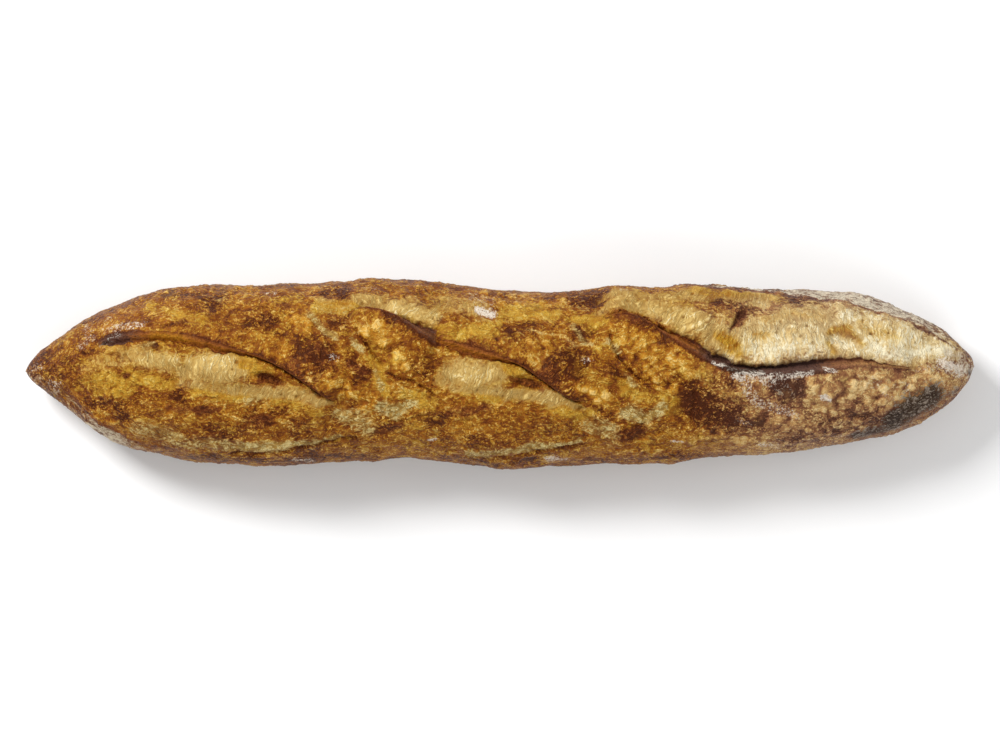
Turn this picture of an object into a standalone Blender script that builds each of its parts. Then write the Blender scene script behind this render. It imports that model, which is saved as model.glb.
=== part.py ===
"""Sourdough baguette, one closed solid.

The loaf lies along X with its slashed top facing +Z. It rests on a flat base at z = 0, and the
origin is under its middle. Rings of points stand along the length. Each ring is a settled
superellipse: domed above its widest level, squarer below it, and cut flat where it would pass
through the oven floor. Four slashes then open the top. Each has a lip of crust that lifts off
the crumb, a furrow under the lip, and the crumb that swelled up beside it.
"""

import bpy
import numpy as np

MM = 0.001

# Driving dimensions of the whole loaf, in millimetres.
LOAF_LENGTH = 400.0
DOME_HEIGHT = 51.5
LEFT_TIP_HEIGHT = 14.0
RIGHT_TIP_HEIGHT = 17.0
SETTLED = 3.0  # how far the round underside would reach below the floor that flattens it
WIDEST_SHARE = 0.40  # height of the widest level, as a share of the dome's height

# The left end tapers to a point and the right end is blunter: length of each taper, and its power.
LEFT_TAPER = (84.0, 0.80)
RIGHT_TAPER = (113.5, 0.62)

# Half-width of the untapered loaf, at distances from the left tip.
GIRTH = (
    (0.0, 38.0),
    (34.0, 38.6),
    (60.0, 37.9),
    (120.0, 38.4),
    (215.0, 36.9),
    (275.0, 37.5),
    (296.0, 36.3),
    (330.0, 36.6),
    (362.0, 38.6),
    (380.0, 38.8),
    (400.0, 38.0),
)

# Sideways wander of the loaf's middle line, at distances from the left tip.
MIDLINE = (
    (0.0, 0.8),
    (17.0, 1.0),
    (30.0, -0.5),
    (60.0, 0.0),
    (118.0, -0.4),
    (143.0, 1.0),
    (168.0, 1.0),
    (185.0, -0.4),
    (205.0, -2.4),
    (228.0, -1.9),
    (244.0, -0.5),
    (270.0, -1.0),
    (287.0, 0.9),
    (311.0, 1.3),
    (342.0, 2.5),
    (372.0, 0.8),
    (400.0, 2.9),
)

# The slashes, seen from above. Each route follows the edge of the lifted lip from left to right.
# crumb_side is +1 where the crumb lies on the +Y side of the route and -1 where it lies on -Y.
SLASHES = (
    {
        "route": (
            (-169.7, 12.4),
            (-155.4, 15.0),
            (-140.7, 15.0),
            (-123.9, 12.4),
            (-104.9, 8.6),
            (-90.2, 1.9),
            (-78.9, -5.7),
            (-68.8, -11.6),
        ),
        "crumb_side": -1,
        "lip_height": 3.4,
        "overhang": 1.2,
        "furrow": 2.6,
        "swell": 1.6,
        "crumb_width": 19.0,
    },
    {
        "route": (
            (-64.6, 23.3),
            (-55.3, 26.3),
            (-46.1, 24.2),
            (-37.6, 19.6),
            (-25.9, 16.6),
        ),
        "crumb_side": 1,
        "lip_height": 3.8,
        "overhang": 1.4,
        "furrow": 2.4,
        "swell": 1.0,
        "crumb_width": 12.0,
    },
    {
        "route": (
            (-25.0, 13.2),
            (-10.3, 10.3),
            (2.3, 6.1),
            (12.8, 1.1),
            (21.2, -5.3),
            (36.0, -12.0),
        ),
        "crumb_side": -1,
        "lip_height": 3.4,
        "overhang": 1.2,
        "furrow": 2.6,
        "swell": 1.6,
        "crumb_width": 18.0,
    },
    {
        "route": (
            (44.0, 22.9),
            (54.9, 23.8),
            (65.8, 18.7),
            (81.8, 13.7),
            (94.8, 5.7),
            (109.6, 3.2),
            (126.4, 4.8),
            (141.1, 6.5),
            (158.0, 5.0),
            (172.0, 2.5),
        ),
        "crumb_side": 1,
        "lip_height": 4.6,
        "overhang": 1.6,
        "furrow": 3.2,
        "swell": 2.2,
        "crumb_width": 26.0,
    },
)
LIP_REACH = 8.0  # width of crust that a lip draws up behind its edge
LIP_STEP = 1.6  # plan width of the torn face under a lip
FURROW_REACH = 5.0
SLASH_FADE = 0.14  # share of a slash's length over which each end dies away

# Splits and hollows in the crumb: middle (x, y), length, width, turn in degrees, and depth.
HOLLOWS = (
    (-95.7, -2.3, 13.0, 4.6, -15.0, 2.4),
    (12.0, -4.0, 13.0, 5.0, -12.0, 2.4),
    (100.3, 22.5, 13.0, 3.6, 55.0, 1.8),
    (145.5, 12.0, 15.0, 8.5, -12.0, 2.0),
)

# The base crust stands out as a narrow foot along two stretches of the loaf's sides:
# first and last station, side, and how far it stands out.
FEET = (
    (26.0, 64.0, -1, 0.9),
    (276.0, 372.0, 1, 1.1),
)
FOOT_HEIGHT = 12.0

# Undulation of the crust: size of its waves and their height, coarse then fine.
WAVES = ((30.0, 1.1), (13.0, 0.9), (6.5, 0.55))
BLISTER_PITCH = 7.5
BLISTER_HEIGHT = 0.7
RIDGE_SIZE = (6.0, 26.0, 26.0)  # torn ridges of crumb: narrow along the loaf and long across it
RIDGE_HEIGHT = 1.3
SIDE_RELIEF = 0.45  # share of the relief that is left where the surface faces sideways

# Small nub that ends the loaf on the right: distance of its middle from the tip, and its size.
NUB_LENGTH = 3.5
NUB_HALF_WIDTH = 1.6

# Fineness of the surface.
RINGS = 340
RING_POINTS = 160
TRIANGLES = 11400

CRUST_COLOUR = (0.47, 0.23, 0.065, 1.0)
CRUST_ROUGHNESS = 0.62


def clear_scene():
    for old in list(bpy.data.objects):
        bpy.data.objects.remove(old, do_unlink=True)


def smoothstep(low, high, value):
    share = np.clip((value - low) / (high - low), 0.0, 1.0)
    return share * share * (3.0 - 2.0 * share)


def along(stations, at):
    """Smooth curve through (distance, value) stations, read at the distances given."""
    x, y = np.array(stations, float).T
    slope = np.gradient(y, x)
    step = np.clip(np.searchsorted(x, at, side="right") - 1, 0, len(x) - 2)
    width = x[step + 1] - x[step]
    t = np.clip((at - x[step]) / width, 0.0, 1.0)
    start = (1.0 + 2.0 * t) * (1.0 - t) ** 2 * y[step] + t * (1.0 - t) ** 2 * width * slope[step]
    end = t * t * (3.0 - 2.0 * t) * y[step + 1] - t * t * (1.0 - t) * width * slope[step + 1]
    return start + end


def smooth_route(points, steps=24):
    """Centripetal-looking smooth route through plan points, with a fixed number of steps a span."""
    knots = np.array(points, float)
    distance = np.concatenate([[0.0], np.cumsum(np.linalg.norm(np.diff(knots, axis=0), axis=1))])
    at = np.linspace(0.0, distance[-1], steps * (len(knots) - 1) + 1)
    x = along(list(zip(distance, knots[:, 0])), at)
    y = along(list(zip(distance, knots[:, 1])), at)
    return np.stack([x, y], axis=1)


def lattice_value(cell, seed):
    """One repeatable number from -1 to 1 for each whole-number cell."""
    mixed = cell[..., 0] * 73856093 ^ cell[..., 1] * 19349663 ^ cell[..., 2] * 83492791 ^ seed * 2654435
    mixed = (mixed ^ (mixed >> 13)) * 1274126177
    return ((mixed ^ (mixed >> 16)) & 65535) / 32767.5 - 1.0


def wave_noise(points, size, seed):
    """Smooth random waves from -1 to 1. Their size is in millimetres, one for all or one an axis."""
    scaled = points / size
    cell = np.floor(scaled).astype(np.int64)
    part = scaled - cell
    part = part * part * (3.0 - 2.0 * part)
    total = np.zeros(points.shape[:-1])
    for dx in (0, 1):
        for dy in (0, 1):
            for dz in (0, 1):
                corner = cell + np.array((dx, dy, dz))
                share = np.abs(1 - dx - part[..., 0]) * np.abs(1 - dy - part[..., 1])
                share = share * np.abs(1 - dz - part[..., 2])
                total += share * lattice_value(corner, seed)
    return total


def half_width(station):
    """Half the loaf's width seen from above, at a distance from the left tip."""
    left_length, left_power = LEFT_TAPER
    right_length, right_power = RIGHT_TAPER
    left = np.sin(np.pi / 2 * np.clip(station / left_length, 0, 1) ** left_power)
    right = np.sin(np.pi / 2 * np.clip((LOAF_LENGTH - station) / right_length, 0, 1) ** right_power)
    nub = NUB_HALF_WIDTH * smoothstep(0.0, 1.2, LOAF_LENGTH - station)
    nub = nub * smoothstep(2.0 * NUB_LENGTH, NUB_LENGTH, LOAF_LENGTH - station)
    return np.maximum(along(GIRTH, station) * left * right, nub)


def ring_outline(station, dense=600):
    """One ring as (y, z) points, evenly spaced, starting under the loaf and turning past +Y."""
    width = float(half_width(station))
    fullness = min(1.0, width / 38.0)
    share = station / LOAF_LENGTH
    tip_height = LEFT_TIP_HEIGHT * (1.0 - share) + RIGHT_TIP_HEIGHT * share
    top = tip_height + (DOME_HEIGHT - tip_height) * fullness**0.92
    low = tip_height - (tip_height + SETTLED) * fullness**0.72
    widest = max(low, 0.0) + WIDEST_SHARE * (top - max(low, 0.0))
    turn = np.linspace(-np.pi / 2, 3 * np.pi / 2, dense, endpoint=False)
    upper = np.sin(turn) > 0
    power = np.where(upper, 2 / 2.15, 2 / 2.6)
    y = width * np.sign(np.cos(turn)) * np.abs(np.cos(turn)) ** power
    reach = np.where(upper, top - widest, widest - low)
    z = widest + reach * np.sign(np.sin(turn)) * np.abs(np.sin(turn)) ** power
    z = np.maximum(z, 0.0)
    y = y + float(along(MIDLINE, station))
    closed_y, closed_z = np.append(y, y[0]), np.append(z, z[0])
    length = np.concatenate([[0.0], np.cumsum(np.hypot(np.diff(closed_y), np.diff(closed_z)))])
    at = np.linspace(0.0, length[-1], RING_POINTS, endpoint=False)
    return np.interp(at, length, closed_y), np.interp(at, length, closed_z)


def smooth_loaf():
    """Grid of points (ring, point, xyz) of the unslashed loaf, and the stations of its rings."""
    even = (np.arange(RINGS) + 0.5) / RINGS
    eased = 0.5 - 0.5 * np.cos(np.pi * even)
    stations = LOAF_LENGTH * (0.55 * even + 0.45 * eased)
    rings = [ring_outline(station) for station in stations]
    y = np.array([ring[0] for ring in rings])
    z = np.array([ring[1] for ring in rings])
    x = np.repeat(stations[:, None] - LOAF_LENGTH / 2, RING_POINTS, axis=1)
    return np.stack([x, y, z], axis=2)


def outward(grid):
    """Unit normals of the grid, pointing out of the loaf."""
    lengthwise = np.gradient(grid, axis=0)
    around = np.roll(grid, -1, axis=1) - np.roll(grid, 1, axis=1)
    normal = np.cross(around, lengthwise)
    return normal / np.maximum(np.linalg.norm(normal, axis=2, keepdims=True), 1e-9)


def beside_route(plan, route, crumb_side):
    """Signed distance from a route, positive on the crumb side, with the place along it."""
    flat = plan.reshape(-1, 2)
    nearest = np.zeros(len(flat), int)
    best = np.full(len(flat), np.inf)
    for index, knot in enumerate(route):
        distance = np.hypot(flat[:, 0] - knot[0], flat[:, 1] - knot[1])
        closer = distance < best
        best[closer] = distance[closer]
        nearest[closer] = index
    heading = np.gradient(route, axis=0)[nearest]
    heading = heading / np.linalg.norm(heading, axis=1, keepdims=True)
    away = flat - route[nearest]
    side = crumb_side * (heading[:, 0] * away[:, 1] - heading[:, 1] * away[:, 0])
    signed = np.where(side >= 0, best, -best)
    sideways = crumb_side * np.stack([-heading[:, 1], heading[:, 0]], axis=1)
    shape = plan.shape[:-1]
    place = nearest / (len(route) - 1)
    return signed.reshape(shape), place.reshape(shape), sideways.reshape(shape + (2,))


def open_slash(grid, normal, facing_up, slash):
    """Lifts a slash's lip, tears its face down to the furrow and swells its crumb."""
    route = smooth_route(slash["route"])
    distance, place, sideways = beside_route(grid[..., :2], route, slash["crumb_side"])
    fade = smoothstep(0.0, SLASH_FADE, place) * smoothstep(1.0, 1.0 - SLASH_FADE, place) * facing_up
    lip = slash["lip_height"] * np.exp(-((np.minimum(distance, 0.0) / LIP_REACH) ** 2))
    beyond = np.maximum(distance - LIP_STEP, 0.0)
    crumb = slash["swell"] * np.sin(np.pi * np.clip(beyond / slash["crumb_width"], 0.0, 1.0)) ** 2
    crumb = crumb - slash["furrow"] * np.exp(-((beyond / FURROW_REACH) ** 2))
    torn = smoothstep(0.0, LIP_STEP, distance)
    height = lip * (1.0 - torn) + crumb * torn
    lean = slash["overhang"] * np.exp(-((np.minimum(distance, 0.0) / (0.6 * LIP_REACH)) ** 2))
    lean = lean * (1.0 - torn) * fade
    moved = normal * (height * fade)[..., None]
    moved[..., 0] += sideways[..., 0] * lean
    moved[..., 1] += sideways[..., 1] * lean
    in_crumb = fade * torn * smoothstep(slash["crumb_width"], 0.7 * slash["crumb_width"], distance)
    return moved, in_crumb


def hollow_depth(grid):
    """Depth of the splits and hollows in the crumb."""
    depth = np.zeros(grid.shape[:2])
    for x, y, length, width, turn, deepest in HOLLOWS:
        angle = np.radians(turn)
        dx, dy = grid[..., 0] - x, grid[..., 1] - y
        lengthwise = (dx * np.cos(angle) + dy * np.sin(angle)) / (0.5 * length)
        across = (dy * np.cos(angle) - dx * np.sin(angle)) / (0.5 * width)
        depth += deepest * np.exp(-((lengthwise**2 + across**2) ** 1.5))
    return depth


def blister_height(grid):
    """Low round blisters, one in each cell of a staggered lattice, on the surface's own points."""
    scaled = grid / BLISTER_PITCH
    cell = np.floor(scaled).astype(np.int64)
    nearest = np.full(grid.shape[:2], np.inf)
    for dx in (-1, 0, 1):
        for dy in (-1, 0, 1):
            for dz in (-1, 0, 1):
                corner = cell + np.array((dx, dy, dz))
                middle = corner + 0.5
                offset = [0.35 * lattice_value(corner, seed) for seed in (11, 12, 13)]
                middle = middle + np.stack(offset, axis=-1)
                nearest = np.minimum(nearest, np.linalg.norm(scaled - middle, axis=2))
    return BLISTER_HEIGHT * smoothstep(0.75, 0.25, nearest)


def foot_reach(grid):
    """How far the base crust stands out sideways, as a foot along the stretches that have one."""
    station = grid[..., 0] + LOAF_LENGTH / 2
    reach = np.zeros(grid.shape[:2])
    for start, end, side, deepest in FEET:
        stretch = smoothstep(start, start + 14.0, station) * smoothstep(end, end - 14.0, station)
        level = np.exp(-(((grid[..., 2] - FOOT_HEIGHT) / 7.0) ** 2))
        reach += side * deepest * stretch * level * (grid[..., 1] * side > 0)
    return reach


def shaped_loaf():
    """The loaf's surface with its slashes, splits, blisters and waves."""
    grid = smooth_loaf()
    normal = outward(grid)
    on_floor = grid[..., 2] <= 1e-6
    facing_up = smoothstep(0.05, 0.45, normal[..., 2])
    station = grid[..., 0] + LOAF_LENGTH / 2
    away_from_tips = smoothstep(1.0, 14.0, station) * smoothstep(1.0, 14.0, LOAF_LENGTH - station)
    shaped = grid.copy()
    crumb = np.zeros(grid.shape[:2])
    for slash in SLASHES:
        moved, in_crumb = open_slash(grid, normal, facing_up, slash)
        shaped += moved
        crumb = np.maximum(crumb, in_crumb)
    waves = sum(height * wave_noise(grid, size, seed) for seed, (size, height) in enumerate(WAVES))
    ridges = RIDGE_HEIGHT * wave_noise(grid, np.array(RIDGE_SIZE), 7)
    relief = waves + crumb * ridges + (1.0 - crumb) * blister_height(grid)
    relief = relief * (SIDE_RELIEF + (1.0 - SIDE_RELIEF) * facing_up)
    relief = relief * away_from_tips - hollow_depth(grid) * facing_up
    relief = relief * smoothstep(0.0, 6.0, grid[..., 2])
    shaped += normal * relief[..., None]
    shaped[..., 1] += foot_reach(grid) * away_from_tips
    shaped[..., 2] = np.where(on_floor, 0.0, np.maximum(shaped[..., 2], 0.0))
    return shaped


def closed_mesh(grid):
    """Mesh of the grid's quads, closed by a fan of triangles on a tip point at each end."""
    rings, points = grid.shape[:2]
    left_tip = grid[0].mean(axis=0) - np.array((0.4, 0.0, 0.0))
    right_tip = grid[-1].mean(axis=0) + np.array((0.4, 0.0, 0.0))
    corners = np.concatenate([grid.reshape(-1, 3), [left_tip, right_tip]]) * MM
    faces = []
    for ring in range(rings - 1):
        for point in range(points):
            after = (point + 1) % points
            here, there = ring * points, (ring + 1) * points
            faces.append((here + point, here + after, there + after, there + point))
    last = (rings - 1) * points
    for point in range(points):
        after = (point + 1) % points
        faces.append((rings * points, after, point))
        faces.append((rings * points + 1, last + point, last + after))
    mesh = bpy.data.meshes.new("sourdough_loaf")
    mesh.from_pydata(corners.tolist(), [], faces)
    mesh.validate()
    return mesh


def thinned(source, triangles):
    """The mesh with its fine points merged where the surface is flattest, and its base flat."""
    helper = bpy.data.objects.new("fine_loaf", source)
    bpy.context.scene.collection.objects.link(helper)
    thinning = helper.modifiers.new("thinning", "DECIMATE")
    thinning.decimate_type = "COLLAPSE"
    thinning.use_collapse_triangulate = True
    source.calc_loop_triangles()
    thinning.ratio = triangles / len(source.loop_triangles)
    bpy.context.view_layer.update()
    graph = bpy.context.evaluated_depsgraph_get()
    mesh = bpy.data.meshes.new_from_object(helper.evaluated_get(graph))
    bpy.data.objects.remove(helper, do_unlink=True)
    for vertex in mesh.vertices:
        if vertex.co.z < 0.06 * MM:
            vertex.co.z = 0.0
    return mesh


def centre_in_plan(mesh):
    """Moves the mesh so that the middle of its box stands over the origin."""
    points = np.array([vertex.co for vertex in mesh.vertices])
    middle = (points.min(axis=0) + points.max(axis=0)) / 2
    for vertex in mesh.vertices:
        vertex.co.x -= middle[0]
        vertex.co.y -= middle[1]


def crust_material():
    material = bpy.data.materials.new("crust")
    material.use_nodes = True
    shader = material.node_tree.nodes["Principled BSDF"]
    shader.inputs["Base Color"].default_value = CRUST_COLOUR
    shader.inputs["Roughness"].default_value = CRUST_ROUGHNESS
    return material


def make_loaf():
    mesh = thinned(closed_mesh(shaped_loaf()), TRIANGLES)
    centre_in_plan(mesh)
    mesh.name = "sourdough_loaf"
    mesh.materials.append(crust_material())
    loaf = bpy.data.objects.new("sourdough_loaf", mesh)
    bpy.context.scene.collection.objects.link(loaf)
    mesh.shade_smooth()
    mesh.set_sharp_from_angle(angle=np.radians(40.0))


clear_scene()
make_loaf()
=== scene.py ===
"""Looks of a sourdough baguette: its baked skin with torn slashes, and a plain pale studio.

Lengths in this script are millimetres unless a name says otherwise. The loaf lies along X, its
slashed top faces +Z, and x and y are plan places measured from the loaf's middle.
"""

import math

import bpy
import numpy as np
from bpy.props import FloatProperty, FloatVectorProperty, IntProperty, PointerProperty
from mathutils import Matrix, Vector


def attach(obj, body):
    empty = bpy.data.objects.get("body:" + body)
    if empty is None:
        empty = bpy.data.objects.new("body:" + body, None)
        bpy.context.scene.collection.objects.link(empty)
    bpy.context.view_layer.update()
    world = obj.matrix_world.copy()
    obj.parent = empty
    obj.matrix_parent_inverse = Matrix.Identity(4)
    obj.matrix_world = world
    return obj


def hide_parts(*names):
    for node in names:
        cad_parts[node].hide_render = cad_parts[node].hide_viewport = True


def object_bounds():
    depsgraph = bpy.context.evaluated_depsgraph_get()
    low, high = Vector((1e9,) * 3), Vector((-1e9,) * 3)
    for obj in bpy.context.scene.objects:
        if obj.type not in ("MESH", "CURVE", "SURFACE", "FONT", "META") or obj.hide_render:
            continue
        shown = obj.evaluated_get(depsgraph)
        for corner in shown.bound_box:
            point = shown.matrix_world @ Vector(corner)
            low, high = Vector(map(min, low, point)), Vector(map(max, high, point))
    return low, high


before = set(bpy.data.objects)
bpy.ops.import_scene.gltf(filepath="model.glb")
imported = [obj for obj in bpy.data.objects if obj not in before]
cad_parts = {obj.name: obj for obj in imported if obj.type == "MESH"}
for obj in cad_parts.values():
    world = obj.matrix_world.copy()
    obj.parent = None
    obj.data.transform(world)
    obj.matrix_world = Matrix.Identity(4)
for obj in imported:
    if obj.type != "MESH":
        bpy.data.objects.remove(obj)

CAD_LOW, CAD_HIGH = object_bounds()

bl_info = {
    "name": "Sourdough Baguette",
    "version": (1, 0, 0),
    "blender": (4, 5, 0),
    "location": "View3D > Sidebar > Baguette",
    "description": "Makes a slashed sourdough baguette and the pale stage it lies on",
    "category": "Add Mesh",
}

MM = 0.001
NODE = "sourdough_loaf"

# ------------------------------------------------------------------ form of the loaf

LOAF_LENGTH = (CAD_HIGH.x - CAD_LOW.x) / MM
DOME_HEIGHT = 51.5
LEFT_TIP_HEIGHT = 14.0
RIGHT_TIP_HEIGHT = 17.0
SETTLED = 3.0  # how far the round section would reach below the floor, where it is flat instead
WIDEST_SHARE = 0.40  # how high up a section its widest level lies
FULL_HALF_WIDTH = 38.0
LEFT_TAPER = (84.0, 0.80)  # length of the taper, and a power below 1 that makes it plump
RIGHT_TAPER = (113.5, 0.58)
DOME_POWER = 2.15  # 2 gives an ellipse, more a squarer section
UNDERSIDE_POWER = 2.6
TOP_POWER = 0.92  # how the top comes down and the underside comes up where the loaf narrows
BASE_POWER = 0.72
NUB_LENGTH = 3.5
NUB_HALF_WIDTH = 1.6
NUB_ROUNDING = 1.2

# Half-width before the ends taper, and how far the middle line wanders sideways, by distance from
# the left tip.
GIRTH = (
    (0, 38.0), (34, 38.6), (60, 37.9), (120, 38.4), (215, 36.9), (275, 37.3),
    (296, 36.0), (330, 36.2), (362, 38.0), (380, 38.2), (400, 38.0),
)
MIDLINE = (
    (0, 0.8), (17, 1.0), (30, -0.5), (60, 0.0), (118, -0.4), (143, 1.0), (168, 1.0), (185, -0.4),
    (205, -2.4), (228, -1.9), (244, -0.5), (270, -1.0), (287, 0.6), (311, 0.9), (342, 2.3),
    (372, 1.3), (400, 2.9),
)

# A slash is a route along the edge of the lifted crust, from left to right. Each knot holds
# x, y, how high the lip stands, how far it leans over the crumb, the width of torn face that shows
# beyond its edge, and how burnt that face is, which also sets how much painted shadow darkens it.
# crumb_side is +1 where the crumb lies on +Y.
SLASHES = (
    {
        "name": "left",
        "crumb_side": -1,
        "knots": (
            (-170.5, 12.4, 0.8, 0.8, 1.2, 0.5),
            (-161.7, 15.2, 2.6, 1.5, 3.4, 0.9),
            (-151.5, 16.2, 2.4, 1.0, 3.4, 0.5),
            (-140.7, 16.0, 2.2, 0.8, 2.8, 0.0),
            (-126.0, 14.1, 2.2, 0.8, 3.5, 0.24),
            (-111.2, 10.1, 2.4, 0.8, 2.7, 0.35),
            (-101.0, 7.0, 2.8, 1.5, 0.9, 0.4),
            (-90.2, 1.9, 3.3, 2.6, 0.5, 0.5),
            (-79.7, -4.8, 3.3, 2.6, 0.5, 0.5),
            (-71.3, -10.3, 2.4, 1.6, 0.5, 0.4),
            (-66.5, -12.4, 1.0, 0.5, 0.3, 0.2),
        ),
        "furrow": 3.0,
        "swell": 1.4,
        "crumb_width": 19.0,
    },
    {
        "name": "upper",
        "crumb_side": 1,
        "knots": (
            (-64.6, 23.0, 0.8, 0.4, 0.3, 0.2),
            (-58.7, 26.0, 2.0, 1.0, 0.3, 0.2),
            (-51.0, 25.6, 2.6, 1.2, 0.5, 0.3),
            (-44.0, 23.0, 3.2, 1.4, 1.0, 0.4),
            (-39.0, 19.6, 3.6, 1.6, 3.2, 0.6),
            (-34.0, 15.4, 3.8, 1.6, 5.4, 0.6),
            (-28.5, 12.6, 3.6, 1.2, 5.6, 0.6),
            (-24.5, 11.2, 2.0, 0.6, 4.0, 0.4),
        ),
        "furrow": 2.4,
        "swell": 1.0,
        "crumb_width": 12.0,
    },
    {
        "name": "middle",
        "crumb_side": -1,
        "knots": (
            (-27.0, 14.0, 1.2, 0.6, 1.2, 0.25),
            (-20.0, 13.2, 2.0, 0.8, 2.8, 0.25),
            (-10.3, 10.3, 2.2, 0.8, 3.6, 0.3),
            (0.2, 6.9, 2.6, 1.0, 2.4, 0.3),
            (8.6, 3.6, 2.8, 1.6, 0.9, 0.4),
            (19.1, -3.2, 3.3, 2.6, 0.5, 0.5),
            (29.7, -10.1, 3.0, 2.2, 0.5, 0.5),
            (37.0, -12.6, 1.0, 0.5, 0.3, 0.2),
        ),
        "furrow": 3.0,
        "swell": 1.4,
        "crumb_width": 18.0,
    },
    {
        "name": "right",
        "crumb_side": 1,
        "knots": (
            (43.5, 22.6, 0.6, 0.3, 0.3, 0.1),
            (51.5, 24.0, 1.6, 0.8, 0.3, 0.2),
            (59.1, 22.3, 2.4, 1.0, 0.4, 0.3),
            (65.8, 18.1, 2.9, 1.2, 0.8, 0.4),
            (72.6, 13.3, 3.3, 1.4, 4.0, 0.35),
            (80.1, 8.4, 3.8, 1.6, 5.0, 0.45),
            (87.7, 4.2, 4.2, 1.6, 4.6, 0.8),
            (93.6, 1.9, 4.6, 1.8, 4.2, 1.0),
            (102.0, 0.2, 4.8, 1.8, 3.6, 1.1),
            (113.8, -0.5, 4.8, 1.8, 3.6, 1.0),
            (126.4, -0.4, 4.4, 1.6, 4.8, 0.9),
            (135.6, 0.3, 4.0, 1.2, 5.0, 0.6),
            (143.2, 1.7, 3.2, 1.0, 4.4, 0.3),
            (152.5, 2.9, 2.2, 0.8, 3.6, 0.1),
            (162.1, 2.5, 1.2, 0.4, 1.2, 0.0),
            (174.0, 1.7, 0.5, 0.2, 0.4, 0.0),
        ),
        "furrow": 3.2,
        "swell": 2.0,
        "crumb_width": 26.0,
    },
)
ROUTE_STEP = 0.5
CRUMB_REACH = 34.0  # how far from its lip a slash can be told from the next one
LIP_REACH = 8.0
LEAN_REACH = 5.0
FURROW_PLACE = 0.85  # where the furrow lies across the torn face, from 0 at the lip to 1 at the crumb
FURROW_REACH = 0.24
FULL_FURROW = 3.0  # height of a lip whose furrow has its full depth
SWELL_FROM = 0.3  # where the crumb's swell starts to fall, as a share of the crumb's width
SLASH_FADE = 6.0  # length over which each end of a slash dies away
LEAST_FACE = 0.9  # narrowest torn face, as measured on the skin before it is lifted
RAGGED = 0.75  # how far the torn edge wanders
LIP_RAGGED = 0.35  # how much of that the lip's own edge wanders
RAG_STRETCH = 0.4  # scale of distances across the face, which draws that wandering out
BITTEN = (0.35, 1.0, 1.6)  # wave height at which bites begin, deepest wave, and depth of a bite
BITTEN_FACE = 1.5  # narrowest torn face that has bites
BEHIND_LIP = 3.0  # how far behind a lip its skin still belongs to the slash
LEAST_LIP = 0.02
UPWARD = (0.05, 0.45)  # how much the skin faces up where marks and slashes set in
BESIDE_LIP = 9.0  # nearer a lip than this, crumb shows only past the torn face
PAST_FACE = (0.75, 1.0)  # across the torn face, from 0 at the lip to 1 at the crumb
FACE_START = (-0.1, 0.04)  # across the torn face too: where its own colour sets in and ends
FACE_END = (1.12, 0.92)
FACE_LIP = (0.1, 0.5)  # how much of a lip there has to be

# Low ledges where skin ends without a lift: knots of x, y, side of the lower ground, height.
LEDGES = (
    {
        "side": 1,
        "height": 0.9,
        "floury": 0.95,
        "fade": 34.0,
        "knots": (
            (66, 36.6), (84, 36.2), (101, 35.4), (118, 34.2), (135, 32.2), (152, 28.6), (168, 23.6),
            (177, 19.6), (186, 14.2), (194, 8.4), (198, 4.0),
        ),
    },
    {
        "side": -1,
        "height": 1.1,
        "floury": 0.75,
        "fade": 26.0,
        "knots": (
            (-187, -4.5), (-181, -10.6), (-172.4, -17.6), (-164.5, -22.9), (-155, -27.8), (-147, -32.0),
            (-140, -35.0),
        ),
    },
)
EDGE_STEP = 1.0
LEDGE_REACH = 30.0
LEDGE_FADE = 8.0
LEDGE_DROP = (0.0, 0.9)  # where the ground drops, and then comes back, past the edge
LEDGE_RETURN = (9.0, 1.0)
FLOUR_EDGE = (-0.2, 0.7)
FLOUR_LEVEL = (8.0, 22.0)  # height above the floor over which the floury crust sets in
EDGE_RUST = (0.9, 0.5, 0.7)  # strength, place and reach of the red-brown line along the edge

# Fine creases in the skin: plan points, depth and how much painted shade darkens them.
CREASES = (
    (((-60, 18.3), (-56.5, 13.0), (-50.0, 4.5), (-44.0, -1.0), (-35, -4.0), (-27, -9)), 1.0, 0.8),
    (((46.5, 17.0), (48.0, 11.0), (52, 4.5), (58.3, -1.5), (69, -6.1)), 1.0, 0.8),
    (((-51, -12), (-46, -20), (-30, -18)), 0.4, 0.4),
    (((51.5, -14), (54, -22), (66, -20)), 0.4, 0.4),
    (((80, -2.5), (82, -10), (80.5, -20), (84, -26)), 0.45, 0.3),
    (((-112, -33.6), (-97, -33.0), (-85, -31.2), (-70, -28.4), (-60, -27.4)), 0.6, 0.6),
    (((-14, -35.4), (2, -35.2), (20, -32.4), (36, -29.6)), 0.6, 0.6),
)

CREASE_REACH = 6.0
CREASE_WIDTH = 0.6
BANK = (0.4, 1.3, 0.7)  # height beside a crease as a share of its depth, its place and its width

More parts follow.
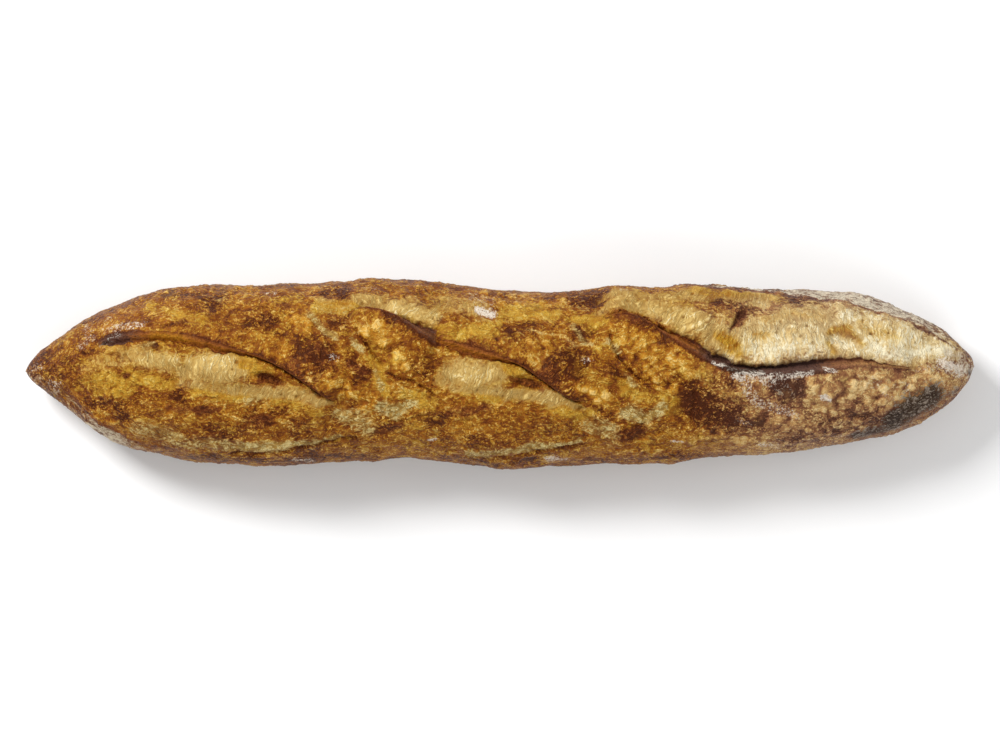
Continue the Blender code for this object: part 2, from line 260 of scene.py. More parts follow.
# Single large blisters: x, y, half-length, half-width, turn in degrees, height.
BLISTERS = (
    (-52.7, 18.0, 3.9, 2.8, 75, 1.1),
    (-46.6, 11.6, 2.4, 1.9, 30, 0.8),
    (-48.6, 15.8, 1.9, 1.5, 0, 0.7),
    (-42.9, 5.6, 2.3, 1.9, 60, 0.9),
    (-39.2, 5.0, 2.2, 1.9, 90, 0.9),
    (-37.6, 0.8, 2.1, 1.7, -20, 0.9),
    (-32.7, 1.9, 2.8, 2.2, 80, 1.0),
    (-57.0, 2.2, 3.5, 2.6, 70, 1.0),
    (-70.9, -1.3, 2.1, 1.7, 70, 0.9),
    (-72.6, -4.6, 2.0, 1.6, 20, 0.8),
    (-66.4, -2.4, 2.2, 1.8, 40, 0.9),
    (-63.1, -5.6, 1.8, 1.5, 0, 0.7),
    (-60.6, -8.7, 2.2, 1.8, -25, 0.9),
    (-65.3, -8.6, 1.7, 1.4, 0, 0.7),
    (-83.7, 17.9, 2.8, 2.2, 70, 0.9),
    (-79.4, 20.6, 2.0, 1.6, 0, 0.7),
    (52.0, 15.0, 3.7, 2.6, 75, 1.1),
    (57.2, 10.0, 2.2, 1.8, 30, 0.8),
    (61.2, 3.4, 2.1, 1.8, 0, 0.8),
    (66.2, -2.0, 2.0, 1.8, 0, 0.9),
    (70.8, -0.8, 2.8, 2.5, 30, 1.0),
    (46.8, -0.8, 2.8, 2.3, 80, 1.0),
    (43.6, -9.6, 2.0, 1.7, 0, 0.8),
    (48.5, -10.2, 2.1, 1.7, 40, 0.9),
    (45.2, -13.0, 1.8, 1.5, 0, 0.7),
    (76.0, 4.4, 2.1, 1.7, -20, 0.8),
)

SINGLE_HEIGHT = 0.9

# Splits and hollows in the crumb: x, y, length, width, turn in degrees, depth.
HOLLOWS = (
    (-95.7, -2.3, 13.0, 4.0, -15.0, 2.4),
    (12.0, -4.0, 13.0, 4.4, -12.0, 2.4),
    (100.3, 22.5, 13.0, 2.8, 55.0, 1.8),
    (142.8, 12.4, 11.0, 8.0, -15.0, 3.0),
)

SPLIT_WIDTH = 6.0  # a hollow narrower than this is a split, with a rust-coloured inside

# Stretches where base crust spreads as a foot: start and end from the left tip, side and reach.
FEET = ((26.0, 64.0, -1, 0.9), (276.0, 372.0, 1, 1.1))
FOOT_FADE = 14.0
FOOT_LEVEL = (12.0, 7.0)  # height above the floor, and how far up and down it fades
FOOT_LUMPS = 0.9

# Random waves. Each has its height, its size and the seed that makes it repeatable.
CRUST_WAVES = ((1.1, 30.0, 0), (1.0, 13.0, 1), (0.5, 6.5, 2), (0.2, 3.4, 3))
EDGE_WAVES = ((1.0, 2.6, 51), (0.7, 1.1, 52))
LEDGE_WAVES = ((0.7, 3.0, 61), (0.8, 9.0, 66))
CREASE_WAVES = ((0.35, 3.0, 62),)
FIBRE_WAVES = ((1.0, 1.1, 91), (0.7, 2.4, 92))
LUMP_WAVES = ((1.0, 3.8, 93), (0.5, 1.6, 96))
CURL_WAVES = ((1.6, 5.0, 94), (0.8, 2.2, 95))
# Waves that shift plan places, along x and then along y.
HOLLOW_WAVES = (((0.5, 2.5, 63),), ((0.4, 2.0, 64),))
MARK_WAVES = (((1.1, 7.0, 71), (0.7, 2.4, 72)), ((1.1, 7.0, 73), (0.7, 2.4, 74)))
BLISTER_WAVES = (((0.9, 4.0, 81),), ((0.9, 4.0, 82),))
# Waves used by themselves: size and seed.
BITE_WAVE = (5.0, 53)
FOOT_WAVE = (9.0, 65)
FOLD_WAVE = (np.array((6.0, 26.0, 26.0)), 7)
PATCH_WAVE = (15.0, 84)
WRINKLE_WAVE = (1.5, 85)
GRAIN_WAVE = (0.9, 86)

# Crowds of round bubbles: distance apart, seed, radii as parts of it, and share of places with one.
COBBLE_CROWD = {"pitch": 4.3, "seed": 21, "small": 0.58, "large": 0.86}
BLISTER_CROWD = {"pitch": 2.4, "seed": 31, "small": 0.25, "large": 0.55, "share": 0.75}
PORE_CROWD = {"pitch": 4.4, "seed": 41, "small": 0.08, "large": 0.22, "share": 0.3}
CELL_TURN = (0.81, 0.59)  # cosine and sine of the angle that the bubbles' rows are turned by
CELL_STRAY = 0.4  # how far a bubble strays from the middle of its cell
CELL_SHAPE = (0.85, 1.15)  # scale of distances along and across a bubble, which makes it oval
FLATTEST_BUBBLE = 0.3  # height of the smallest bubbles, next to the largest

GROUT_LEVEL = 0.3  # level of the ground between cobbles, as a share of their height
FEWEST_BLISTERS = 0.25
PATCH_EDGE = (-0.3, 0.4)  # from few blisters to many, by the level of the patches' wave
SIDE_RELIEF = 0.85  # relief of the sides, next to the top's
BODY_FROM = (1.0, 14.0)  # distance from a tip over which the relief sets in
WRINKLE_STRETCH = np.array((0.6, 1.0, 1.0))  # draws the crust's wrinkles out lengthwise
WRINKLE_SHARE = 0.6
COBBLE_SMOOTHNESS = 0.5  # how much of their grain the cobbles lose
CALM_CRUMB = 0.55  # how rough the crumb is in the left and middle slashes, next to the right one
ROUGH_FROM = (50.0, 90.0)
PALER_FROM = (80.0, 110.0)
GREYER_FROM = (74.0, 122.0)
FIBRE_STRETCH = 0.35  # scale of distances from the lip, which draws the crumb's ridges out
FIBRES_END = (24.0, 6.0)  # distance from the lip at which the crumb's ridges die away
FIBRE_WEIGHT = 0.8
LUMP_WEIGHT = 0.7
FOLD_HEIGHT = 0.9
SETTLING = 6.0  # height above the floor below which the relief dies away
TIP_REACH = 0.4

# The grid: its rings along the loaf, and the points around each ring.
FINE_GRID = (1040, 400)
TIP_CROWDING = 0.3  # how much the rings close up towards the tips
BELOW_SPACING = 0.4  # closeness of a ring's points on the underside, next to the top
TOP_SIDE = (-0.25, 0.15)  # where that closeness changes, from -1 underneath to 1 on top

# Values that shape the material's layers. Their weights stand where they are mixed.
STREAKINESS = (0.65, 1.0, 1.0)  # scale of places, which draws the crust's marks out lengthwise
THREAD_STRETCH = 0.2  # scale of distances from the lip, which draws the crumb's threads out
# Painted shade: the crust is darkened from the first height above the floor down to the second, where the
# sides turn away from the light.
PAINTED_SHADE_BELOW = (34.0, 18.0)
EDGE_PAINTED_SHADE = 0.16
CALM_THREADS = 0.7
ROUGH_THREADS = 1.1
FLOOR_SIDE = (14.0, 5.0)  # height above the floor over which the sides turn to base crust
FLOOR_SIDE_WAVER = 14.0  # how far noise moves that height
MOST_BASE = 0.78
MOST_COVERED = 0.92  # how much of the crust char or flour hides at most
LEAST_SATURATION = 0.84
CRUST_ROUGHNESS = 0.45
GLOSS = 0.35
CRUST_IOR = 1.38

# Stage, in metres. Each lamp has its name, its place and its size.
LAMPS = (
    ("key", (-1.0, 0.9, 1.2), 0.6),
    ("fill", (0.7, -1.1, 1.1), 0.9),
    ("side", (1.3, 0.3, 0.9), 0.6),
)
WHITE = (1.0, 1.0, 1.0, 1.0)
FLOOR_COLOUR = (0.92, 0.92, 0.92, 1.0)
FLOOR_ROUGHNESS = 0.9
FLOOR_REACH = 20.0
CAMERA_AIM = (0.0002, -0.0006)
CAMERA_SIGHT = 50.0
SHOULDER_LEVEL = 0.032

# ------------------------------------------------------------------ marks on the crust
# A mark is a soft-edged stroke: its strength, then knots of x, y and half-width.

# Where the torn crumb shows.
CRUMB = (
    (0.55, (-175, 3.2, 2.5), (-166, 5.3, 3.8), (-155, 6.1, 3.8)),
    (0.9, (-156, 6.9, 3.4), (-147, 6.1, 4.2), (-135, 4, 3.8)),
    (1.0, (-132, 0.6, 3.8), (-123, 1.9, 6.3), (-114, 1.5, 6.7), (-108, 1.9, 4.2)),
    (0.7, (-136, -4.4, 2.1), (-126, -5.3, 2.5), (-113, -6.5, 2.5)),
    (0.95, (-111, -6.5, 2.1), (-100, -7.4, 2.5), (-90, -7.8, 3.4), (-81, -9.5, 2.9), (-70, -13.2, 1.3)),
    (0.75, (-75, 30.1, 1.7), (-67, 28, 1.7), (-60, 29.7, 2.1)),
    (0.95, (-61, 29.7, 2.1), (-53, 28.8, 2.9), (-45, 27.5, 3.8), (-37, 26.3, 4.6), (-28, 23.8, 4.2)),
    (0.62, (-25, 29.2, 3.4), (-17, 28, 4.2), (-7, 27.1, 3.8)),
    (0.8, (-25, -2.7, 2.9), (-20, -0.2, 4.6)),
    (1.0, (-20, -0.2, 4.6), (-12, -0.2, 5.9), (-1, -1.1, 4.6)),
    (0.8, (-20, -6.1, 2.1), (-4, -7.8, 2.1)),
    (0.95, (-2, -8.2, 2.5), (9, -9, 2.5), (20, -9.9, 2.9), (28, -12.4, 2.5), (36, -14.9, 1.3)),
    (0.85, (42, 26.3, 1.7), (49, 27.5, 2.5)),
    (0.95, (49, 27.5, 2.5), (59, 26.7, 3.4), (68, 25, 4.6), (80, 20.8, 5.9)),
    (1.0, (80, 20.8, 5.9), (94, 14.1, 6.7), (105, 12.4, 8), (122, 15.8, 11.4), (141, 16.6, 11.4)),
    (1.0, (141, 16.6, 11.4), (157, 14.9, 10.9), (171, 12.8, 9.3), (183, 9.9, 6.3), (192, 7.8, 2.9)),
    (0.85, (42, 31.8, 1.7), (68, 30.9, 2.1), (84, 31.8, 2.1), (112, 31, 2.1)),
)
# Where the crumb is palest.
WHITE_CRUMB = (
    (0.4, (-146, 8.6, 2.1), (-131, 7.4, 2.9), (-120, 4.4, 3.8), (-108, 1.9, 2.9)),
    (0.2, (-155, 6.3, 2.9), (-141, 4.8, 2.1)),
    (0.45, (-45, 27.1, 2.5), (-36, 25.4, 3.4), (-29, 23.8, 2.9)),
    (0.45, (-16, -0.2, 3.4), (-4, -1.1, 2.9)),
    (0.3, (63, 24.6, 2.5), (76, 22.5, 3.4), (84, 18.3, 3.4)),
    (0.72, (96, 7.4, 2.0), (104, 8.2, 3.8), (115, 9.5, 5.5), (127, 9.9, 5.0), (135, 9.5, 3.5)),
    (0.8, (140.5, 12.8, 2.2), (146, 11.6, 2.2)),
    (1.0, (159, 7.4, 2.5), (171, 7.4, 3.0), (181, 9.9, 3.4), (188, 8.6, 2.1)),
    (0.52, (146, 23.3, 4.0), (160, 20.4, 4.5), (177, 14.9, 4.0)),
    (0.8, (156, 12.0, 4.0), (170, 12.5, 4.0), (182, 10.0, 3.0)),
)
# Clear orange-yellow crust, mostly beside the crumb.
AMBER = (
    (0.9, (-175, -4, 2.9), (-164, -3.2, 3.4), (-147, -2.7, 2.9), (-136, -4.4, 2.1)),
    (0.7, (-168, -7.8, 2.1), (-155, -8.2, 2.1)),
    (0.8, (-107, 4, 2.5), (-102, 2.3, 2.5), (-94, 1.5, 1.7)),
    (0.7, (-128, -8.6, 1.3), (-115, -9.5, 1.3), (-105, -10.3, 1.3)),
    (0.8, (-90, 30.9, 2.1), (-84, 32.2, 2.5)),
    (1.0, (-76, 26.7, 2.1), (-67, 26.3, 2.5), (-60, 25.9, 2.1)),
    (0.6, (-147, 26.7, 2.5), (-139, 24.6, 2.1), (-120, 21.7, 2.1)),
    (0.8, (-25, 18.3, 2.5), (-15, 16.6, 3.4), (-3, 19.1, 3.4), (0, 23.3, 2.5)),
    (0.8, (0, 24.6, 2.5), (13, 26.3, 2.9), (25, 25.4, 2.1)),
    (0.8, (3, 2.3, 2.5), (10, 0.2, 2.1)),
    (0.35, (-58, 10.0, 4.0), (-40, 5.0, 4.0)),
    (0.7, (0, -11.1, 1.7), (-8, -11.1, 1.3)),
    (1.0, (28, 23.3, 1.7), (38, 23.3, 2.1), (45, 22.1, 1.7)),
    (0.8, (-53, 5.7, 2.1), (-50, -1.9, 2.5), (-47, -7.8, 3.8)),
    (0.8, (-37, -9.5, 4.2), (-29, -12, 3.4)),
    (0.8, (51, -4.8, 2.5), (56, -9, 3.8), (65, -12, 5), (73, -14.5, 3.8)),
    (0.8, (23, -15.4, 2.1), (33, -17, 2.5), (41, -16.2, 1.7)),
    (0.6, (-94, -12, 2.1), (-84, -14.1, 2.1), (-75, -16.2, 2.1)),
    (0.7, (42, 9.9, 2.5), (49, 12, 2.1)),
    (0.8, (93, 15.5, 2.5), (98, 11.5, 3.0), (101, 8.0, 2.0)),
    (0.7, (108, 15.5, 2.1), (111, 14.9, 2.1)),
    (1.0, (137.5, 15.5, 1.0), (141.5, 17.5, 1.5), (146, 17.0, 1.8)),
    (0.8, (146, 17.0, 1.8), (150, 14.2, 1.7), (153, 11.0, 1.2)),
    (0.85, (137.8, 11.5, 1.4), (139.0, 8.6, 1.9)),
    (0.6, (152, 20.0, 3.0), (165, 15.0, 4.0)),
    (0.45, (112, 22.0, 2.5), (124, 25.0, 3.0), (136, 22.0, 2.5)),
    (0.5, (120, 15.5, 1.0), (124, 17.5, 1.2)),
    (0.6, (80, 33.4, 1.7), (101, 32.6, 1.7), (118, 31.8, 1.7)),
)
# Greenish straw-coloured stretches, where the skin was drawn thin.
STRAW = (
    (0.6, (-152, -22.9, 2.5), (-143, -26.3, 2.9), (-130, -29.2, 2.9), (-111, -30.5, 2.1)),
    (0.9, (-108, -31.3, 1.7), (-97, -30.9, 1.7), (-85, -29.2, 1.4), (-75, -27.6, 1.1), (-66, -26.5, 0.8)),
    (0.6, (-67, -18.3, 2.5), (-58, -19.6, 3.8), (-55, -24.6, 2.9)),
    (0.9, (-49, -14.5, 2.5), (-43, -15.8, 2.9), (-36, -13.2, 2.1)),
    (0.9, (-12, -33.4, 1.7), (2, -33.4, 1.7), (20, -30.5, 1.4), (34, -28.6, 1.0)),
    (0.6, (38, -21.7, 2.9), (47, -25.4, 4.2)),
    (0.9, (54, -16.6, 2.9), (61, -18.3, 2.5), (69, -14.5, 2.1)),
    (0.6, (-105, -11.1, 2.1), (-100, -9.5, 1.7)),
    (0.6, (-149, 10.7, 1.7), (-144, 11.1, 1.7)),
    (0.4, (-74, 26.0, 2.5), (-62, 25.0, 2.5)),
    (0.8, (-79, 23.8, 1.3), (-74, 18.3, 1.7), (-68, 13.7, 1.3)),
    (0.7, (31, 19.6, 1.3), (35, 15.4, 1.3), (39, 12.4, 0.8)),
    (0.6, (-60, 12.8, 1.7), (-57, 9, 1.7)),
    (0.6, (47, 12.8, 1.7), (50, 9, 1.7)),
    (0.6, (54, -1.1, 1.7), (57, -6.1, 1.7)),
    (0.7, (-52, -0.2, 1.3), (-49, -6.1, 1.7)),
)
# Darkly baked spots and streaks, and one painted shadow.
DARK = (
    (0.28, (-172, 3.5, 4.0), (-156, 1.5, 4.5)),
    (0.25, (62, 8.0, 4.0), (76, 1.0, 4.5)),
    (0.22, (-82, -5.0, 3.0), (-66, -8.0, 3.0)),
    (0.55, (150, -20.0, 3.5), (158, -17.5, 3.5)),
    (0.5, (122, -27.0, 2.5), (140, -26.0, 3.0), (156, -24.5, 3.0)),
    (0.35, (-199, 1, 4.0), (-190, 2, 7.0), (-181, 4, 8.0)),
    (0.6, (-148, 10.5, 1.3), (-142.5, 10.8, 1.3)),
    (1.0, (-83, 8.2, 2.5), (-76, 9, 4.2), (-73, 4.8, 3.8)),
    (0.6, (-84, 14.1, 2.1), (-71, 14.9, 1.7)),
    (0.8, (-82, 1.5, 2.5), (-76, -1.1, 2.1)),
    (0.85, (-105, 21.2, 2.1), (-99, 21.7, 3.4), (-94, 22.5, 1.7)),
    (0.6, (-93, 17, 1.5), (-89, 17, 1.5)),
    (0.75, (-126, 32.2, 1.7), (-117, 32.6, 3.4), (-120, 28, 2.1)),
    (0.8, (-75, 33.4, 1.7), (-66, 34.3, 3.4), (-67, 30.5, 1.7)),
    (0.6, (-140, 32.6, 1.3), (-132, 33.4, 1.7), (-128, 34.3, 1.3)),
    (0.5, (-139, 20.4, 1.3), (-132, 20, 1.3)),
    (0.8, (-68, 20.4, 2.5), (-65, 20, 2.5)),
    (0.7, (-60, 4, 2.1), (-56, 0.6, 2.5), (-60, -3.2, 1.7)),
    (0.7, (-48, 22.5, 2.1), (-42, 20.8, 2.5)),
    (0.7, (-34, 2.3, 2.5), (-31, -0.2, 2.5)),
    (0.8, (-37, 16.6, 1.7), (-32, 14.9, 2.5)),
    (0.6, (-169, -12.8, 1.7), (-163, -12, 2.1)),
    (0.85, (-159, -15.8, 2.5), (-157, -17.5, 2.5)),
    (0.6, (-134, -9.9, 2.5), (-132, -12, 1.7)),
    (0.5, (-124, -24.2, 2.5), (-113, -25.4, 3.4), (-102, -24.2, 2.1)),
    (0.6, (-104, -18.3, 2.9), (-96, -19.6, 2.1)),
    (0.6, (-96, -16.2, 1.3), (-89, -15.8, 1.7)),
    (0.5, (-86, -22.9, 3.4), (-82, -22.9, 3.4)),
    (0.7, (-84, -30.9, 1.7), (-77, -30.5, 2.1)),
    (0.9, (22, 4.8, 2.5), (30, 6.5, 4.6), (35, 4.8, 2.9)),
    (0.9, (24, -1.1, 2.9), (32, -0.2, 2.5)),
    (0.8, (6, 17, 1.7), (13, 17.5, 2.5)),
    (0.7, (35, 17.5, 2.3), (38, 17.5, 2.3)),
    (0.85, (31, 30.5, 1.7), (39, 31.8, 3.4), (44, 31.3, 1.7)),
    (0.7, (47, 1.1, 2.1), (50, -1.9, 1.7)),
    (0.7, (68, -1.1, 2.1), (71, -2.7, 2.1)),
    (0.6, (-29, -21.2, 2.5), (-23, -18.7, 2.1), (-25, -24.6, 2.1)),
    (0.5, (-12, -28, 2.1), (2, -29.2, 2.1)),
    (0.5, (17, -21.2, 2.7), (21, -21.2, 2.7)),
    (0.7, (59, 20.8, 2.1), (66, 17.9, 2.1)),
    (0.8, (68, 12.8, 2.1), (76, 11.6, 2.1)),
    (0.6, (80, 9, 2.5), (84, 5.7, 2.1)),
    (0.8, (83, -5.3, 3.0), (84, -12, 4.8)),
    (1.35, (80, -8.0, 4.0), (83, -12.8, 5.5), (91, -16.6, 7.0), (97, -17.5, 5.0)),
    (0.8, (84, -21.7, 2.9), (99, -21.2, 2.9)),
    (0.6, (89, -4.4, 3.4), (99, -3.2, 2.5)),
    (0.7, (101, -23.8, 2.1), (110, -19.6, 2.5)),
    (1.7, (117, -5.3, 2.6), (122, -6.4, 3.8), (126, -6.4, 2.6)),
    (0.9, (152, -12.8, 2.9), (148, -16.2, 2.5)),
    (0.8, (131, -18.7, 2.5), (138, -22.1, 3.4), (147, -21.2, 2.9)),
    (0.7, (162, -14.5, 2.1), (166, -17.5, 2.5)),
    (0.8, (99, 28.8, 2.1), (105, 27.1, 2.9), (101, 23.3, 1.7)),
    (0.7, (91, 29.7, 1.3), (97, 29.7, 1.3)),
    (0.7, (119, 32.2, 1.1), (127, 31.0, 1.4), (135, 29.2, 1.2)),
    # Painted shadow on the inner upper edge of the hollow at the right end.
    (0.6, (139.5, 15.4, 0.6), (143.5, 16.0, 0.8), (148, 14.4, 0.7)),
    (0.5, (90, 31.0, 2.0), (99, 29.0, 2.6), (110, 26.5, 2.0)),
    (0.6, (-50, -24.2, 2.1), (-45, -22.5, 1.7), (-41, -21.7, 1.3)),
    (0.7, (52, -26.7, 1.7), (59, -24.6, 1.7), (62, -22.9, 1.3)),
    (0.5, (-1, 18.7, 1.3), (13, 20, 1.3), (21, 17.5, 1.3)),
    (0.6, (42, -14.5, 1.7), (46, -17.5, 1.7)),
    (0.5, (-64, -11.1, 2.1), (-61, -13.7, 1.7)),
    (0.5, (-4, 33.9, 1.3), (3, 33.4, 1.3)),
    (0.5, (17, 33, 1.3), (24, 32.6, 1.3)),
    (0.7, (-130, -35.5, 1), (-101, -36, 1), (-71, -35.5, 1), (-50, -35.5, 1)),
    (0.7, (-25, -35.5, 1.3), (0, -38.1, 1.3), (17, -37.6, 1.3)),
    (0.7, (32, -37.2, 1.3), (59, -36, 1), (84, -34.3, 1)),
    (0.7, (-176, 9, 1.3), (-171, 9.9, 0.8)),
    (0.7, (-100, 9, 1.3), (-89, 4.4, 1.7), (-79, -2.5, 1.7), (-71, -8.6, 1.3)),
    (0.7, (10, 5.2, 1.3), (20, -0.8, 1.7), (31, -7.8, 1.7), (37, -10.5, 1.3)),
)
# Red-brown skin.
RUST = (
    (0.8, (-138, -14.1, 1.7), (-126, -15.4, 1.7), (-117, -14.5, 1.7)),
    (0.5, (-156, -1.9, 1.2), (-154, -1.9, 1.2)),
    (0.7, (-21, -15.8, 1.7), (-12, -16.6, 1.7), (-3, -14.5, 1.3)),
    (0.9, (-100, -2.3, 1.3), (-93, -3.2, 1.3)),
    (0.8, (-85, 4.8, 2.5), (-84, 0.6, 2.5)),
    (0.8, (20, 2.3, 2.9), (24, -2.7, 2.5)),
    (0.7, (-54, 25.4, 1.7), (-45, 23.3, 1.7)),
    (0.7, (51, 22.5, 2.1), (61, 20.8, 1.7)),
    (0.7, (-63, 3.2, 2.1), (-58, 0.6, 2.5)),
    (0.6, (-78, 7.8, 3.4), (-72, 7.8, 3.4)),
    (0.8, (103, 24.2, 1.7), (99, 20, 1.3)),
    (0.6, (-103, -18.7, 2.9), (-96, -20, 2.1)),
    (0.7, (-48, -23.8, 2.1), (-41, -21.2, 1.3)),
    (0.7, (53, -26.3, 1.7), (62, -23.3, 1.3)),
    (0.6, (-147, -31.3, 1.3), (-141, -33, 1.3), (-130, -34.3, 1.3)),
    (0.6, (-176, -4.8, 0.8), (-172, -10.3, 0.8)),
    (0.6, (-168, -23.8, 0.8), (-158, -26.7, 0.8), (-149, -30.5, 1.3)),
    (0.6, (-126, 15.4, 1.3), (-113, 12.8, 1.3)),
    (0.6, (-13, 12, 1.3), (-4, 9.5, 1.3)),
    (0.6, (80, -12, 3.4), (85, -16.2, 3.4)),
    (0.5, (141, -12.8, 2.5), (147, -11.1, 2.1)),
    (0.6, (147, 3.2, 1.3), (157, 2.3, 1.3), (168, 1.5, 0.8)),
)
# Charred skin.
CHAR = (
    (0.3, (118, -5.8, 2.6), (124.5, -7.0, 2.9)),
    (0.8, (150, -26.5, 1.6), (160, -24.6, 2.8), (166, -22.2, 3.6)),
    (1.3, (165, -20.3, 3.8), (172, -15.2, 4.4), (182, -9.2, 4.2)),
    (0.5, (181, -6.5, 2.5), (184, -5.0, 2.0)),
    (0.5, (148, -28, 1.3), (171, -23.8, 1.7)),
    (0.5, (187, -10.3, 1.7), (192, -6.9, 1.3)),
    (0.7, (93, 1.5, 1.7), (101, -1.0, 2.1), (110, -2.0, 1.7)),
    (1.2, (198.6, 0.6, 0.9), (199.8, 0.2, 0.9)),
    (0.6, (-168.0, 12.4, 1.0), (-163.5, 13.2, 1.2)),
)
# Dusting flour.
FLOUR = (
    (0.5, (-175, 20, 2.1), (-172, 15.4, 2.1), (-176, 11.1, 1.7)),
    (0.5, (-166, 17.9, 1.7), (-160, 18.3, 1.7)),
    (0.58, (-160, 18.7, 1.7), (-152, 19.6, 2.1), (-148, 20.4, 1.3)),
    (0.52, (-165, 21.7, 1.3), (-162, 22.5, 1.3)),
    (0.45, (-163, 14.9, 1.7), (-158, 15.4, 1.7)),
    (0.5, (-197, 1.5, 2.1), (-194, 2.3, 2.1)),
    (0.5, (-190, -3.6, 2.1), (-185, -4.4, 2.1), (-187, -8.2, 2.1)),
    (0.6, (-97, 33.4, 1.3), (-94, 33.9, 1.3)),
    (0.6, (-70, 6.9, 1.7), (-68, 6.9, 1.7)),
    (0.5, (-57, 35.1, 0.8), (-51, 34.7, 0.8)),
    (0.45, (-11, 32.4, 2.9), (-3, 29.9, 2.9)),
    (1.0, (-9.5, 27.0, 1.5), (-6, 26.2, 2.2), (-2.5, 25.2, 1.9)),
    (0.9, (-29, -28, 0.8), (-26, -28, 0.8)),
    (0.6, (36, 5.3, 1.7), (38, 5.3, 1.7)),
    (0.5, (51, 33, 1.3), (54, 32.2, 0.8)),
    (0.8, (-85, -35.5, 1.3), (-79, -36.8, 1.3)),
    (0.8, (21, -36.8, 1.7), (28, -36.8, 1.7)),
    (0.8, (73, -28.4, 0.8), (78, -28, 0.8)),
    (0.9, (89, 3.2, 1.3), (94, 1.9, 1.3)),
    (0.75, (98, -1.9, 1.8), (106, -3.0, 2.4), (114, -3.0, 2.4), (124, -2.0, 1.7), (131, -1.0, 1.3)),
    (0.6, (103, -6.3, 2.5), (110, -12, 3.2), (116, -14.5, 2.9)),
    (0.6, (116, -14.5, 2.9), (125, -17.9, 2.1)),
    (0.15, (90, -26.0, 3.0), (110, -29.0, 4.0), (140, -27.0, 3.0)),
    (0.4, (152, -4.0, 3.0), (170, -6.0, 4.0)),
    (1.2, (136, -9, 1.3), (138, -10.3, 1.3)),
    (0.8, (136, 0.6, 1.3), (140, 0.2, 1.3)),
    (0.5, (162, -8.6, 1.7), (165, -10.7, 1.3)),
    (0.6, (110, -29.2, 2.1), (117, -30.1, 1.7)),
    (0.6, (141, -26.7, 0.8), (146, -26.3, 0.8)),
    (0.5, (99, -19.6, 1.3), (105, -21.7, 1.3)),
    (0.6, (197, 9, 1.3), (199, 3.2, 1.3)),
    (0.5, (175, 1.1, 1.7), (184, 1.9, 1.7)),
    (1.0, (187, 3.5, 3.0), (194, 0.5, 3.4)),
    (0.6, (-147, 34.3, 0.8), (-141, 35.1, 0.8)),
    (0.6, (-16, 37.2, 0.8), (-11, 36, 0.8)),
)
# Where round blisters stand close together like cobbles.
COBBLES = (
    (1.0, (126, -7.8, 3.4), (139, -7.8, 8.4), (152, -7.8, 10.1)),
    (1.0, (152, -7.8, 10.1), (164, -7.8, 7.6), (172, -5.3, 4.2)),
    (0.7, (164, -0.6, 2.5), (183, -2.7, 3.4)),
    (0.7, (114, -19.6, 4.2), (135, -21.7, 5.0), (152, -21.7, 4.2)),
    (0.8, (-54, 16.6, 4.2), (-46, 12, 4.2), (-40, 3.6, 3.8)),
    (0.6, (-76, -1.9, 2.9), (-69, -5.3, 3.4), (-62, -9.5, 3.4)),
    (0.5, (-84, 22.5, 3.4), (-67, 1.5, 3.4)),
    (0.9, (36, -8.2, 2.9), (43, -10.3, 3.8), (46, -14.5, 2.5)),
    (0.7, (56, 12, 4.2), (63, 4.8, 5.0), (69, -4.4, 3.8), (78, -10.3, 2.9)),
    (0.7, (68, 9, 4.2), (80, 0.6, 4.2)),
    (0.5, (17, 12, 3.8), (12, 3.6, 2.5)),
    (0.5, (-100, 12, 3.4), (-90, 12, 3.4)),
    (0.5, (80, -28, 3.4), (101, -28, 3.4)),
)
# Grey-brown crust that rose from the floury underside.
BASE = (
    (0.35, (-199, 0, 1.5), (-194, -3, 2.0), (-187, -9, 2.0)),
    (0.6, (188, 8, 2.0), (194, 5, 3), (198, 1, 3)),
)
# The strokes of each mark, and how far their edges blur as a share of their half-width.
MARKS = {
    "crumb": (CRUMB, 0.85),
    "white": (WHITE_CRUMB, 0.7),
    "amber": (AMBER, 0.9),
    "straw": (STRAW, 0.8),
    "dark": (DARK, 1.2),
    "rust": (RUST, 0.9),
    "char": (CHAR, 0.95),
    "flour": (FLOUR, 0.7),
    "cobble": (COBBLES, 0.5),
    "base": (BASE, 0.5),
}


def colour(red, green, blue):
    """A screen colour, 0 to 255 a channel, as the linear colour that shaders use."""
    channels = np.array((red, green, blue)) / 255.0
    linear = np.where(channels <= 0.04045, channels / 12.92, ((channels + 0.055) / 1.055) ** 2.4)
    return tuple(float(value) for value in linear)


def colour_property(name, description, rgb):
    """A colour setting, given by its screen colour."""
    return FloatVectorProperty(
        name=name, description=description, default=colour(*rgb), subtype="COLOR", size=3, min=0.0, max=1.0
    )


def relief_property(name, description, default):
    """A height or depth setting in millimetres."""
    return FloatProperty(
        name=name, description=description + ", in millimetres", default=default, min=0.0, max=3.0
    )


class BaguetteShape(bpy.types.PropertyGroup):
    """Sizes of the loaf's relief, in millimetres."""

    cobble_height: relief_property(
        "Cobble height", "How far the crowded, cobble-like blisters stand up", 1.3
    )
    blister_height: relief_property("Blister height", "How far the crust's small blisters stand up", 0.5)
    grain_height: relief_property("Grain height", "Height of the crust's fine wrinkles", 0.18)
    fibre_height: relief_property("Fibre height", "Height of the torn crumb's ridges", 0.38)
    pore_depth: relief_property("Pore depth", "Depth of the holes in the torn crumb", 0.8)
    triangles: IntProperty(
        name="Triangles", description="Most triangles that the finished skin has",
        default=196000, min=20000, max=199000,
    )


